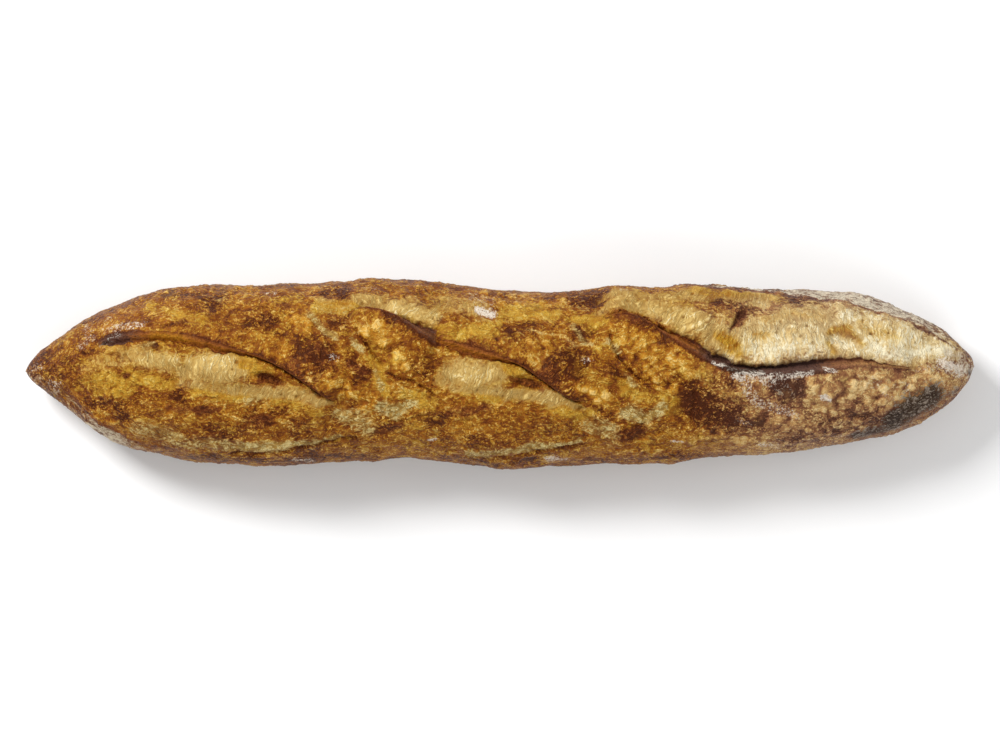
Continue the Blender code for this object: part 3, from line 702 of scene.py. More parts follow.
class BaguetteColours(bpy.types.PropertyGroup):
    """Colours of the crust, the crumb and what lies on them."""

    burnt: colour_property("Burnt crust", "Darkest crust, nearly burnt", (64, 22, 5))
    dark: colour_property("Dark crust", "Dark brown crust", (106, 51, 12))
    brown: colour_property("Brown crust", "Common brown of the crust", (142, 84, 19))
    ochre: colour_property("Ochre crust", "Common golden colour of the crust", (174, 117, 30))
    gold: colour_property("Golden crust", "Lighter golden colour of the crust", (202, 152, 60))
    cream: colour_property("Crust highlights", "Palest flecks of the crust", (236, 196, 116))
    glint: colour_property("Glint", "Tint of the crust's soft shine", (255, 214, 160))
    # Soot and painted shadow: this darkens the torn face in the gap under the tallest lip.
    soot_and_shade: colour_property("Soot", "Blackened edge of the tallest lip", (90, 58, 48))
    rust_dark: colour_property("Dark rust", "Red-brown of torn faces and streaks", (92, 40, 14))
    rust: colour_property("Rust", "Lighter red-brown of torn faces and streaks", (146, 84, 34))
    amber_dark: colour_property("Dark amber", "Shaded amber crust", (140, 86, 12))
    amber: colour_property("Amber", "Clear orange-yellow crust beside the crumb", (197, 153, 52))
    amber_light: colour_property("Light amber", "Palest amber crust", (232, 198, 108))
    straw_dark: colour_property("Dark straw", "Shaded straw-coloured crust", (104, 76, 28))
    straw: colour_property("Straw", "Straw-coloured crust", (168, 132, 66))
    straw_light: colour_property("Light straw", "Palest straw-coloured crust", (214, 194, 134))
    # Painted shade in the crumb's hollows, as well as its darker baked parts.
    crumb_dark_and_shade: colour_property("Crumb hollows", "Hollows between the crumb's ridges", (136, 100, 46))
    crumb: colour_property("Crumb", "Common colour of the torn crumb", (179, 144, 80))
    crumb_light: colour_property("Light crumb", "Light ridges of the crumb", (214, 184, 114))
    crumb_white: colour_property("White crumb", "Palest torn crumb", (236, 222, 180))
    flour: colour_property("Flour", "Dusting flour", (228, 216, 200))
    char: colour_property("Char", "Charred crust", (36, 28, 25))
    ash: colour_property("Ash", "Pale specks on charred crust", (142, 127, 116))
    base_dark: colour_property("Dark base crust", "Grey-brown crust near the oven floor", (132, 96, 66))
    base_light: colour_property("Light base crust", "Floury crust near the oven floor", (218, 201, 170))


class BaguetteStage(bpy.types.PropertyGroup):
    """The camera, the lights and the floor."""

    camera_lens: FloatProperty(
        name="Lens", description="Focal length of the camera, in millimetres",
        default=300.0, min=20.0, max=600.0,
    )
    picture_width: FloatProperty(
        name="Picture width", description="Width that the picture covers at the loaf, in metres",
        default=0.4206, unit="LENGTH",
    )
    key_power: FloatProperty(
        name="Key light", description="Power of the light behind the loaf", default=31.0, unit="POWER"
    )
    fill_power: FloatProperty(
        name="Fill light", description="Power of the light in front of the loaf", default=8.0, unit="POWER"
    )
    side_power: FloatProperty(
        name="Side light", description="Power of the light at the right end", default=3.0, unit="POWER"
    )
    sky_strength: FloatProperty(
        name="Surrounding light", description="Strength of the even light from all round", default=0.44
    )


# ------------------------------------------------------------------ small tools for shapes


def smoothstep(low, high, value):
    """0 at low and 1 at high, with a smooth rise between them. low may be the larger one."""
    share = np.clip((value - low) / (high - low), 0.0, 1.0)
    return share * share * (3.0 - 2.0 * share)


def along(stations, at):
    """Smooth curve through (distance, value) stations, read at the distances given."""
    x, y = np.array(stations, float).T
    slope = np.gradient(y, x)
    step = np.clip(np.searchsorted(x, at, side="right") - 1, 0, len(x) - 2)
    width = x[step + 1] - x[step]
    t = np.clip((at - x[step]) / width, 0.0, 1.0)
    start = (1.0 + 2.0 * t) * (1.0 - t) ** 2 * y[step] + t * (1.0 - t) ** 2 * width * slope[step]
    end = t * t * (3.0 - 2.0 * t) * y[step + 1] - t * t * (1.0 - t) * width * slope[step + 1]
    return start + end


def smooth_route(knots, pitch):
    """A smooth route through knots whose first two columns are x and y, and how far along it is."""
    knots = np.array(knots, float)
    steps = np.linalg.norm(np.diff(knots[:, :2], axis=0), axis=1)
    distance = np.concatenate([[0.0], np.cumsum(steps)])
    at = np.linspace(0.0, distance[-1], int(distance[-1] / pitch) + 2)
    columns = [along(list(zip(distance, column)), at) for column in knots.T]
    return np.stack(columns, axis=1), at


def lattice_value(cell, seed):
    """One repeatable number from -1 to 1 for each whole-number cell."""
    mixed = cell[..., 0] * 73856093 ^ cell[..., 1] * 19349663 ^ cell[..., 2] * 83492791 ^ seed * 2654435
    mixed = (mixed ^ (mixed >> 13)) * 1274126177
    return ((mixed ^ (mixed >> 16)) & 65535) / 32767.5 - 1.0


def wave_noise(points, size, seed):
    """Smooth random waves from -1 to 1. Their size is in millimetres, one for all or one an axis."""
    scaled = points / size
    cell = np.floor(scaled).astype(np.int64)
    part = scaled - cell
    part = part * part * (3.0 - 2.0 * part)
    total = np.zeros(points.shape[:-1])
    for dx in (0, 1):
        for dy in (0, 1):
            for dz in (0, 1):
                corner = cell + np.array((dx, dy, dz))
                share = np.abs(1 - dx - part[..., 0]) * np.abs(1 - dy - part[..., 1])
                share = share * np.abs(1 - dz - part[..., 2])
                total += share * lattice_value(corner, seed)
    return total


def waved(points, waves, start=0.0):
    """start plus random waves, each given by its height, its size and its seed."""
    total = start
    for height, size, seed in waves:
        total = total + height * wave_noise(points, size, seed)
    return total


def wandering(points, waves_of_axes):
    """Plan places of the points, shifted by random waves along x and along y."""
    places = points[..., :2].copy()
    for axis, waves in enumerate(waves_of_axes):
        places[..., axis] += waved(points, waves)
    return places


def fading(at, length, reach):
    """1 along a route, and 0 at both of its ends."""
    return smoothstep(0.0, reach, at) * smoothstep(length, length - reach, at)


def in_oval(dx, dy, degrees, half_length, half_width):
    """Places along and across a turned oval, as shares of its half-length and half-width."""
    angle = math.radians(degrees)
    lengthwise = (dx * math.cos(angle) + dy * math.sin(angle)) / half_length
    across = (dy * math.cos(angle) - dx * math.sin(angle)) / half_width
    return lengthwise, across


def bubbles(places, pitch, seed, small, large, share=1.0):
    """Heights, 0 to 1, of round bubbles that crowd and overlap at plan places.

    Their radii run from small to large as parts of the pitch, and share is how many places have one.
    """
    cosine, sine = CELL_TURN
    long_scale, short_scale = CELL_SHAPE
    scaled = places @ np.array(((cosine, sine), (-sine, cosine))) / pitch
    cell = np.floor(scaled).astype(np.int64)
    height = np.zeros(places.shape[:-1])
    for dx in (-1, 0, 1):
        for dy in (-1, 0, 1):
            corner = np.concatenate([cell + np.array((dx, dy)), np.zeros_like(cell[..., :1])], axis=-1)
            across = scaled[..., 0] - corner[..., 0] - 0.5 - CELL_STRAY * lattice_value(corner, seed)
            beyond = scaled[..., 1] - corner[..., 1] - 0.5 - CELL_STRAY * lattice_value(corner, seed + 1)
            size = 0.5 + 0.5 * lattice_value(corner, seed + 2)
            turn = math.pi * lattice_value(corner, seed + 3)
            longer = (across * np.cos(turn) + beyond * np.sin(turn)) * long_scale
            shorter = (beyond * np.cos(turn) - across * np.sin(turn)) * short_scale
            radius = small + (large - small) * size
            cap = np.sqrt(np.clip(1.0 - (longer**2 + shorter**2) / radius**2, 0.0, 1.0))
            there = lattice_value(corner, seed + 4) < 2.0 * share - 1.0
            level = FLATTEST_BUBBLE + (1.0 - FLATTEST_BUBBLE) * radius / large
            height = np.maximum(height, cap * there * level)
    return height


def marked(places, strokes, blur):
    """Strength of soft-edged strokes at plan places."""
    total = np.zeros(places.shape[:-1])
    outer, inner = 1.0 + blur, max(1.0 - blur, 0.0)
    for strength, *knots in strokes:
        for (x0, y0, r0), (x1, y1, r1) in zip(knots, knots[1:]):
            reach = max(r0, r1) * outer
            low = np.array((min(x0, x1), min(y0, y1))) - reach
            high = np.array((max(x0, x1), max(y0, y1))) + reach
            near = ((places > low) & (places < high)).all(axis=-1)
            offset = places[near] - (x0, y0)
            run = np.array((x1 - x0, y1 - y0))
            share = np.clip(offset @ run / (run @ run), 0.0, 1.0)
            away = np.linalg.norm(offset - share[:, None] * run, axis=1) / (r0 + (r1 - r0) * share)
            total[near] = np.maximum(total[near], strength * smoothstep(outer, inner, away))
    return total


# ------------------------------------------------------------------ the skin


def half_width(station):
    """Half the loaf's width at distances from its left tip, with the small nub at its right tip."""
    left_length, left_power = LEFT_TAPER
    right_length, right_power = RIGHT_TAPER
    left = np.sin(np.pi / 2 * np.clip(station / left_length, 0, 1) ** left_power)
    right = np.sin(np.pi / 2 * np.clip((LOAF_LENGTH - station) / right_length, 0, 1) ** right_power)
    nub = NUB_HALF_WIDTH * smoothstep(0.0, NUB_ROUNDING, LOAF_LENGTH - station)
    nub = nub * smoothstep(2.0 * NUB_LENGTH, NUB_LENGTH, LOAF_LENGTH - station)
    return np.maximum(along(GIRTH, station) * left * right, nub)


def ring_outline(station, points, dense=900):
    """One ring as (y, z) points, starting under the loaf and turning past +Y, closest on top."""
    width = float(half_width(station))
    fullness = min(1.0, width / FULL_HALF_WIDTH)
    share = station / LOAF_LENGTH
    tip_height = LEFT_TIP_HEIGHT * (1.0 - share) + RIGHT_TIP_HEIGHT * share
    top = tip_height + (DOME_HEIGHT - tip_height) * fullness**TOP_POWER
    low = tip_height - (tip_height + SETTLED) * fullness**BASE_POWER
    widest = max(low, 0.0) + WIDEST_SHARE * (top - max(low, 0.0))
    turn = np.linspace(-np.pi / 2, 3 * np.pi / 2, dense + 1)
    upper = np.sin(turn) > 0
    power = np.where(upper, 2 / DOME_POWER, 2 / UNDERSIDE_POWER)
    y = width * np.sign(np.cos(turn)) * np.abs(np.cos(turn)) ** power
    reach = np.where(upper, top - widest, widest - low)
    z = widest + reach * np.sign(np.sin(turn)) * np.abs(np.sin(turn)) ** power
    z = np.maximum(z, 0.0)
    y = y + float(along(MIDLINE, station))
    top_side = smoothstep(*TOP_SIDE, np.sin(turn[1:]))
    closeness = BELOW_SPACING + (1.0 - BELOW_SPACING) * top_side
    length = np.concatenate([[0.0], np.cumsum(np.hypot(np.diff(y), np.diff(z)) * closeness)])
    at = np.linspace(0.0, length[-1], points, endpoint=False)
    return np.interp(at, length, y), np.interp(at, length, z)


def smooth_loaf(rings, points):
    """Grid of points (ring, point, xyz) of the unslashed loaf."""
    even = (np.arange(rings) + 0.5) / rings
    eased = 0.5 - 0.5 * np.cos(np.pi * even)
    stations = LOAF_LENGTH * ((1.0 - TIP_CROWDING) * even + TIP_CROWDING * eased)
    outlines = [ring_outline(station, points) for station in stations]
    y = np.array([outline[0] for outline in outlines])
    z = np.array([outline[1] for outline in outlines])
    x = np.repeat(stations[:, None] - LOAF_LENGTH / 2, points, axis=1)
    return np.stack([x, y, z], axis=2)


def outward(grid):
    """Unit normals of the grid, pointing out of the loaf."""
    lengthwise = np.gradient(grid, axis=0)
    around = np.roll(grid, -1, axis=1) - np.roll(grid, 1, axis=1)
    normal = np.cross(around, lengthwise)
    return normal / np.maximum(np.linalg.norm(normal, axis=2, keepdims=True), 1e-9)


def beside(places, route, crumb_side, reach):
    """Signed distance from a route, positive on its crumb side, and the nearest place on it.

    Also gives the direction to the crumb side, which places are near, and how far past that nearest
    place they lie along the route, which matters beyond its ends.
    """
    low, high = route[:, :2].min(axis=0) - reach, route[:, :2].max(axis=0) + reach
    near = ((places > low) & (places < high)).all(axis=-1)
    flat = places[near]
    best = np.full(len(flat), np.inf)
    nearest = np.zeros(len(flat), int)
    for index, knot in enumerate(route):
        distance = (flat[:, 0] - knot[0]) ** 2 + (flat[:, 1] - knot[1]) ** 2
        closer = distance < best
        best[closer] = distance[closer]
        nearest[closer] = index
    heading = np.gradient(route[:, :2], axis=0)[nearest]
    heading = heading / np.linalg.norm(heading, axis=1, keepdims=True)
    away = flat - route[nearest, :2]
    side = crumb_side * (heading[:, 0] * away[:, 1] - heading[:, 1] * away[:, 0])
    signed = np.full(places.shape[:-1], -reach)
    signed[near] = np.where(side >= 0, 1.0, -1.0) * np.sqrt(best)
    place = np.zeros(places.shape[:-1], int)
    place[near] = nearest
    sideways = np.zeros(places.shape)
    sideways[near] = crumb_side * np.stack([-heading[:, 1], heading[:, 0]], axis=1)
    past = np.zeros(places.shape[:-1])
    past[near] = (heading * away).sum(axis=1)
    return signed, place, sideways, near, past


def ragged_face(along_lip, distance, lean, face):
    """How far places lie past a lip's ragged edge, and how wide the torn face below it is."""
    wander = np.stack([along_lip, distance * RAG_STRETCH, 0.0 * distance], axis=-1)
    ragged = RAGGED * waved(wander, EDGE_WAVES)
    shallow, deep, depth = BITTEN
    bites = np.clip(wave_noise(wander, *BITE_WAVE) - shallow, 0.0, deep) * depth
    start = distance + lean + LIP_RAGGED * ragged
    return start, np.maximum(face + lean + ragged - bites * (face > BITTEN_FACE), LEAST_FACE)


class Skin:
    """The loaf's skin as a grid, with what each of its points is made of."""

    def __init__(self, rings, points):
        self.rest = smooth_loaf(rings, points)
        self.normal = outward(self.rest)
        self.shaped = self.rest.copy()
        shape = self.rest.shape[:2]
        self.facing_up = smoothstep(*UPWARD, self.normal[..., 2])
        self.torn = np.full(shape, -9.0)  # 0 at a lip's edge, 1 where its torn face ends
        self.lip = np.zeros(shape)  # how much of a lip there is
        self.burnt_lip = np.zeros(shape)
        self.tear = np.zeros(shape + (2,))  # place along the nearest slash, and distance from it
        self.nearest_lip = np.full(shape, 99.0)
        self.nearest_slash = np.full(shape, 99.0)
        self.hollow = np.zeros(shape)
        self.base = np.zeros(shape)
        self.relief = np.zeros(shape)
        station = self.rest[..., 0] + LOAF_LENGTH / 2
        self.body = smoothstep(*BODY_FROM, station) * smoothstep(*BODY_FROM, LOAF_LENGTH - station)

    def open_slash(self, slash):
        """Lifts a slash's lip, tears its face down to the furrow and swells the crumb beside it."""
        route, lengths = smooth_route(slash["knots"], ROUTE_STEP)
        distance, place, sideways, near, past = beside(
            self.rest[..., :2], route, slash["crumb_side"], CRUMB_REACH
        )
        lip_height, lean, face, burnt = (route[place, column] for column in (2, 3, 4, 5))
        along_lip = lengths[place]
        fade = fading(along_lip, lengths[-1], SLASH_FADE) * self.facing_up * near
        start, width = ragged_face(along_lip, distance, lean, face)
        skin = np.minimum(start, 0.0)
        beyond = np.maximum(start - width, 0.0)
        torn = smoothstep(0.0, 1.0, start / width)
        lift = lip_height * np.exp(-((skin / LIP_REACH) ** 2))
        crumb_width = slash["crumb_width"]
        crumb = slash["swell"] * smoothstep(crumb_width, SWELL_FROM * crumb_width, beyond)
        furrow = np.exp(-(((start / width - FURROW_PLACE) / FURROW_REACH) ** 2))
        furrow = furrow * slash["furrow"] * lip_height / FULL_FURROW
        height = (lift * (1.0 - torn) + crumb * torn - furrow) * fade
        over = lean * np.exp(-((skin / LEAN_REACH) ** 2)) * (1.0 - torn) * fade
        self.shaped += self.normal * height[..., None]
        self.shaped[..., :2] += sideways * over[..., None]
        away = np.abs(distance)
        closer = (away < self.nearest_slash) & near & (distance > -BEHIND_LIP)
        self.nearest_slash[closer] = away[closer]
        self.tear[closer] = np.stack([along_lip + past, start], axis=-1)[closer]
        closer = (away < self.nearest_lip) & near & (fade > LEAST_LIP)
        self.nearest_lip[closer] = away[closer]
        self.torn[closer] = np.where(start < 0, start / BEHIND_LIP, start / width)[closer]
        self.lip[closer] = fade[closer]
        self.burnt_lip[closer] = burnt[closer]

    def drop_ledge(self, ledge):
        """Lowers the ground beyond an edge where the skin ends and the base crust begins."""
        route, lengths = smooth_route(ledge["knots"], EDGE_STEP)
        distance, place, _, near, _ = beside(self.rest[..., :2], route, ledge["side"], LEDGE_REACH)
        along_edge = lengths[place]
        fade = fading(along_edge, lengths[-1], LEDGE_FADE) * near
        edge = waved(self.rest, LEDGE_WAVES, distance)
        low = smoothstep(*LEDGE_DROP, edge) * smoothstep(*LEDGE_RETURN, edge)
        self.relief -= ledge["height"] * low * fade
        slowly = fading(along_edge, lengths[-1], ledge["fade"])
        floury = smoothstep(*FLOUR_EDGE, edge) * smoothstep(*FLOUR_LEVEL, self.rest[..., 2])
        floury = floury * slowly * near
        self.base = np.maximum(self.base, floury * ledge["floury"])
        strength, before, reach = EDGE_RUST
        self.rust = np.maximum(self.rust, strength * np.exp(-(((edge + before) / reach) ** 2)) * fade)

    def press_crease(self, points, depth, darkness):
        """Presses a fine line into the skin, darkened with painted shade, with a low bank on each side of
        it.
        """
        route, _ = smooth_route(points, EDGE_STEP)
        distance, _, _, near, _ = beside(self.rest[..., :2], route, 1, CREASE_REACH)
        distance = waved(self.rest, CREASE_WAVES, distance)
        line = np.exp(-((distance / CREASE_WIDTH) ** 2)) * near
        self.relief -= depth * line
        # Painted shade along the crease.
        self.dark = np.maximum(self.dark, darkness * line)
        height, beside_it, width = BANK
        self.relief += height * depth * np.exp(-(((np.abs(distance) - beside_it) / width) ** 2)) * near

    def press_hollows(self):
        """Presses the splits and hollows into the crumb."""
        along_x, along_y = HOLLOW_WAVES
        for x, y, length, width, turn, deepest in HOLLOWS:
            dx = waved(self.rest, along_x, self.rest[..., 0] - x)
            dy = waved(self.rest, along_y, self.rest[..., 1] - y)
            lengthwise, across = in_oval(dx, dy, turn, 0.5 * length, 0.5 * width)
            pit = np.exp(-((lengthwise**2 + across**2) ** 2)) * self.facing_up
            self.relief -= deepest * pit
            if width < SPLIT_WIDTH:
                self.hollow = np.maximum(self.hollow, pit)

    def mark_places(self):
        """Works out what each point is made of, from the marks and the slashes."""
        bent = wandering(self.rest, MARK_WAVES)
        past_face = smoothstep(*PAST_FACE, self.torn)
        on_crumb_side = np.where(self.nearest_lip < BESIDE_LIP, past_face, 1.0)
        on_crumb_side = on_crumb_side * self.lip + (1.0 - self.lip)
        marks = {name: marked(bent, strokes, blur) for name, (strokes, blur) in MARKS.items()}
        self.white = marks["white"]
        self.base = marks["base"]
        self.crumb = marks["crumb"] * on_crumb_side * self.facing_up
        self.cobble = marks["cobble"] * self.facing_up * (1.0 - self.crumb)
        for name in ("amber", "straw", "dark", "rust", "char", "flour"):
            setattr(self, name, marks[name] * self.facing_up)
        face = smoothstep(*FACE_START, self.torn) * smoothstep(*FACE_END, self.torn)
        self.face = face * smoothstep(*FACE_LIP, self.lip)

    def raise_crust(self, shape):
        """Waves, blisters and wrinkles of the crust."""
        side = SIDE_RELIEF + (1.0 - SIDE_RELIEF) * self.facing_up
        bent = wandering(self.rest, BLISTER_WAVES)
        pillows = np.maximum(bubbles(bent, **COBBLE_CROWD), GROUT_LEVEL)
        domes = bubbles(bent, **BLISTER_CROWD)
        patchy = smoothstep(*PATCH_EDGE, wave_noise(self.rest, *PATCH_WAVE))
        patchy = FEWEST_BLISTERS + (1.0 - FEWEST_BLISTERS) * patchy
        singles = self.single_blisters(bent)
        self.blister = (self.cobble * pillows + (1.0 - self.cobble) * patchy * domes) * (1.0 - self.crumb)
        self.blister = self.blister * (1.0 - np.minimum(singles, 1.0)) + singles
        height = shape.blister_height + (shape.cobble_height - shape.blister_height) * self.cobble
        wrinkles = 1.0 - 2.0 * np.abs(wave_noise(self.rest * WRINKLE_STRETCH, *WRINKLE_WAVE))
        grain = wrinkles * WRINKLE_SHARE + wave_noise(self.rest, *GRAIN_WAVE)
        grain = grain * (1.0 - COBBLE_SMOOTHNESS * self.cobble)
        crust = (height * self.blister + shape.grain_height * grain) * (1.0 - self.crumb)
        self.relief += (waved(self.rest, CRUST_WAVES) + crust * self.body) * side

    def single_blisters(self, places):
        """Heights of the large blisters that stand by themselves."""
        total = np.zeros(places.shape[:-1])
        for x, y, length, width, turn, height in BLISTERS:
            lengthwise, across = in_oval(places[..., 0] - x, places[..., 1] - y, turn, length, width)
            round_off = np.clip(1.0 - lengthwise**2 - across**2, 0.0, 1.0)
            total = np.maximum(total, height * np.sqrt(round_off))
        return total * SINGLE_HEIGHT

    def raise_crumb(self, shape):
        """Ridges, folds and pores of the torn crumb, running away from the lip that it tore from."""
        curl = waved(self.rest, CURL_WAVES)
        along_lip, from_lip = self.tear[..., 0], self.tear[..., 1]
        torn_frame = np.stack([along_lip + curl, from_lip * FIBRE_STRETCH, 0.0 * curl], axis=-1)
        fibres = waved(torn_frame, FIBRE_WAVES) * smoothstep(*FIBRES_END, from_lip)
        folds = wave_noise(self.rest, *FOLD_WAVE)
        lumps = waved(self.rest, LUMP_WAVES)
        self.pore = bubbles(self.rest[..., :2], **PORE_CROWD) * self.crumb
        relief = shape.fibre_height * (FIBRE_WEIGHT * fibres + LUMP_WEIGHT * lumps) + FOLD_HEIGHT * folds
        rough = CALM_CRUMB + (1.0 - CALM_CRUMB) * smoothstep(*ROUGH_FROM, self.rest[..., 0])
        self.relief += self.crumb * (relief * rough - shape.pore_depth * self.pore) * self.body

    def stand_feet(self):
        """Spreads the base crust along two stretches of the sides."""
        level, fade = FOOT_LEVEL
        station = self.rest[..., 0] + LOAF_LENGTH / 2
        reach = np.zeros(self.rest.shape[:2])
        for start, end, side, deepest in FEET:
            stretch = smoothstep(start, start + FOOT_FADE, station)
            stretch = stretch * smoothstep(end, end - FOOT_FADE, station)
            band = np.exp(-(((self.rest[..., 2] - level) / fade) ** 2))
            lumpy = 1.0 + FOOT_LUMPS * wave_noise(self.rest, *FOOT_WAVE)
            reach += side * deepest * stretch * band * lumpy * (self.rest[..., 1] * side > 0)
        self.shaped[..., 1] += reach * self.body

    def finish(self):
        """Moves the grid out along its normals by the relief and sets it on the floor."""
        on_floor = self.rest[..., 2] <= 1e-6
        settled = self.relief * smoothstep(0.0, SETTLING, self.rest[..., 2])
        self.shaped += self.normal * settled[..., None]
        self.shaped[..., 2] = np.where(on_floor, 0.0, np.maximum(self.shaped[..., 2], 0.0))
        low = self.shaped.reshape(-1, 3).min(axis=0)
        high = self.shaped.reshape(-1, 3).max(axis=0)
        self.shaped[..., :2] -= ((low + high) / 2)[:2]

    def stored(self):
        """What the material reads at each point: three numbers under each name."""
        return {
            "rest_mm": (self.rest[..., 0], self.rest[..., 1], self.rest[..., 2]),
            "tear": (self.tear[..., 0], self.tear[..., 1], self.base),
            "lip": (np.clip(self.torn, -1.0, 1.0), self.face, self.burnt_lip),
            "browning": (self.dark, self.rust, self.char),
            "bloom": (self.flour, self.straw, self.amber),
            "crumb": (self.crumb, self.white, self.pore),
            "relief": (self.blister, self.cobble, self.hollow),
        }


def make_skin(shape, rings, points):
    """The whole skin, made in the order that its forms build on each other."""
    skin = Skin(rings, points)
    for slash in SLASHES:
        skin.open_slash(slash)
    skin.mark_places()
    for ledge in LEDGES:
        skin.drop_ledge(ledge)
    for crease in CREASES:
        skin.press_crease(*crease)
    skin.press_hollows()
    skin.raise_crust(shape)
    skin.raise_crumb(shape)
    skin.stand_feet()
    skin.finish()
    return skin


def grid_faces(rings, points):
    """Corner numbers of the quads between rings, and of the fans that close both tips."""
    here = np.arange(rings * points).reshape(rings, points)
    after = np.roll(here, -1, axis=1)
    quads = np.stack([here[:-1], after[:-1], after[1:], here[1:]], axis=-1).reshape(-1, 4)
    left, right = rings * points, rings * points + 1
    left_fan = np.stack([np.full(points, left), after[0], here[0]], axis=-1)
    right_fan = np.stack([np.full(points, right), here[-1], after[-1]], axis=-1)
    return quads, np.concatenate([left_fan, right_fan])


def with_tips(values):
    """Grid values as one list, with one more value for the point that closes each tip."""
    rings, points = values.shape[:2]
    flat = values.reshape(rings * points, -1)
    ends = [values[end].reshape(points, -1).mean(axis=0) for end in (0, -1)]
    return np.concatenate([flat, ends])


def skin_mesh(skin):
    """Mesh of the skin with what each point is made of stored on it."""
    rings, points = skin.rest.shape[:2]
    places = with_tips(skin.shaped)
    places[-2:, 0] += (-TIP_REACH, TIP_REACH)
    quads, fans = grid_faces(rings, points)
    mesh = bpy.data.meshes.new("baked_skin")
    mesh.vertices.add(len(places))
    mesh.vertices.foreach_set("co", np.ascontiguousarray(places * MM, np.float32).ravel())
    mesh.loops.add(quads.size + fans.size)
    mesh.loops.foreach_set("vertex_index", np.concatenate([quads.ravel(), fans.ravel()]).astype(np.int32))
    mesh.polygons.add(len(quads) + len(fans))
    starts = np.concatenate([4 * np.arange(len(quads)), quads.size + 3 * np.arange(len(fans))])
    mesh.polygons.foreach_set("loop_start", starts.astype(np.int32))
    mesh.update(calc_edges=True)
    for name, columns in skin.stored().items():
        layer = mesh.attributes.new(name, "FLOAT_VECTOR", "POINT")
        values = with_tips(np.stack(columns, axis=-1))
        layer.data.foreach_set("vector", np.ascontiguousarray(values, np.float32).ravel())
    return mesh


def thinned(mesh, triangles):
    """The mesh with its points merged where the surface is flattest."""
    helper = bpy.data.objects.new("fine_skin", mesh)
    bpy.context.scene.collection.objects.link(helper)
    mesh.calc_loop_triangles()
    thinning = helper.modifiers.new("thinning", "DECIMATE")
    thinning.ratio = min(1.0, triangles / len(mesh.loop_triangles))
    thinning.use_collapse_triangulate = True
    bpy.context.view_layer.update()
    graph = bpy.context.evaluated_depsgraph_get()
    result = bpy.data.meshes.new_from_object(helper.evaluated_get(graph))
    bpy.data.objects.remove(helper, do_unlink=True)
    bpy.data.meshes.remove(mesh)
    return result


# ------------------------------------------------------------------ the baked material


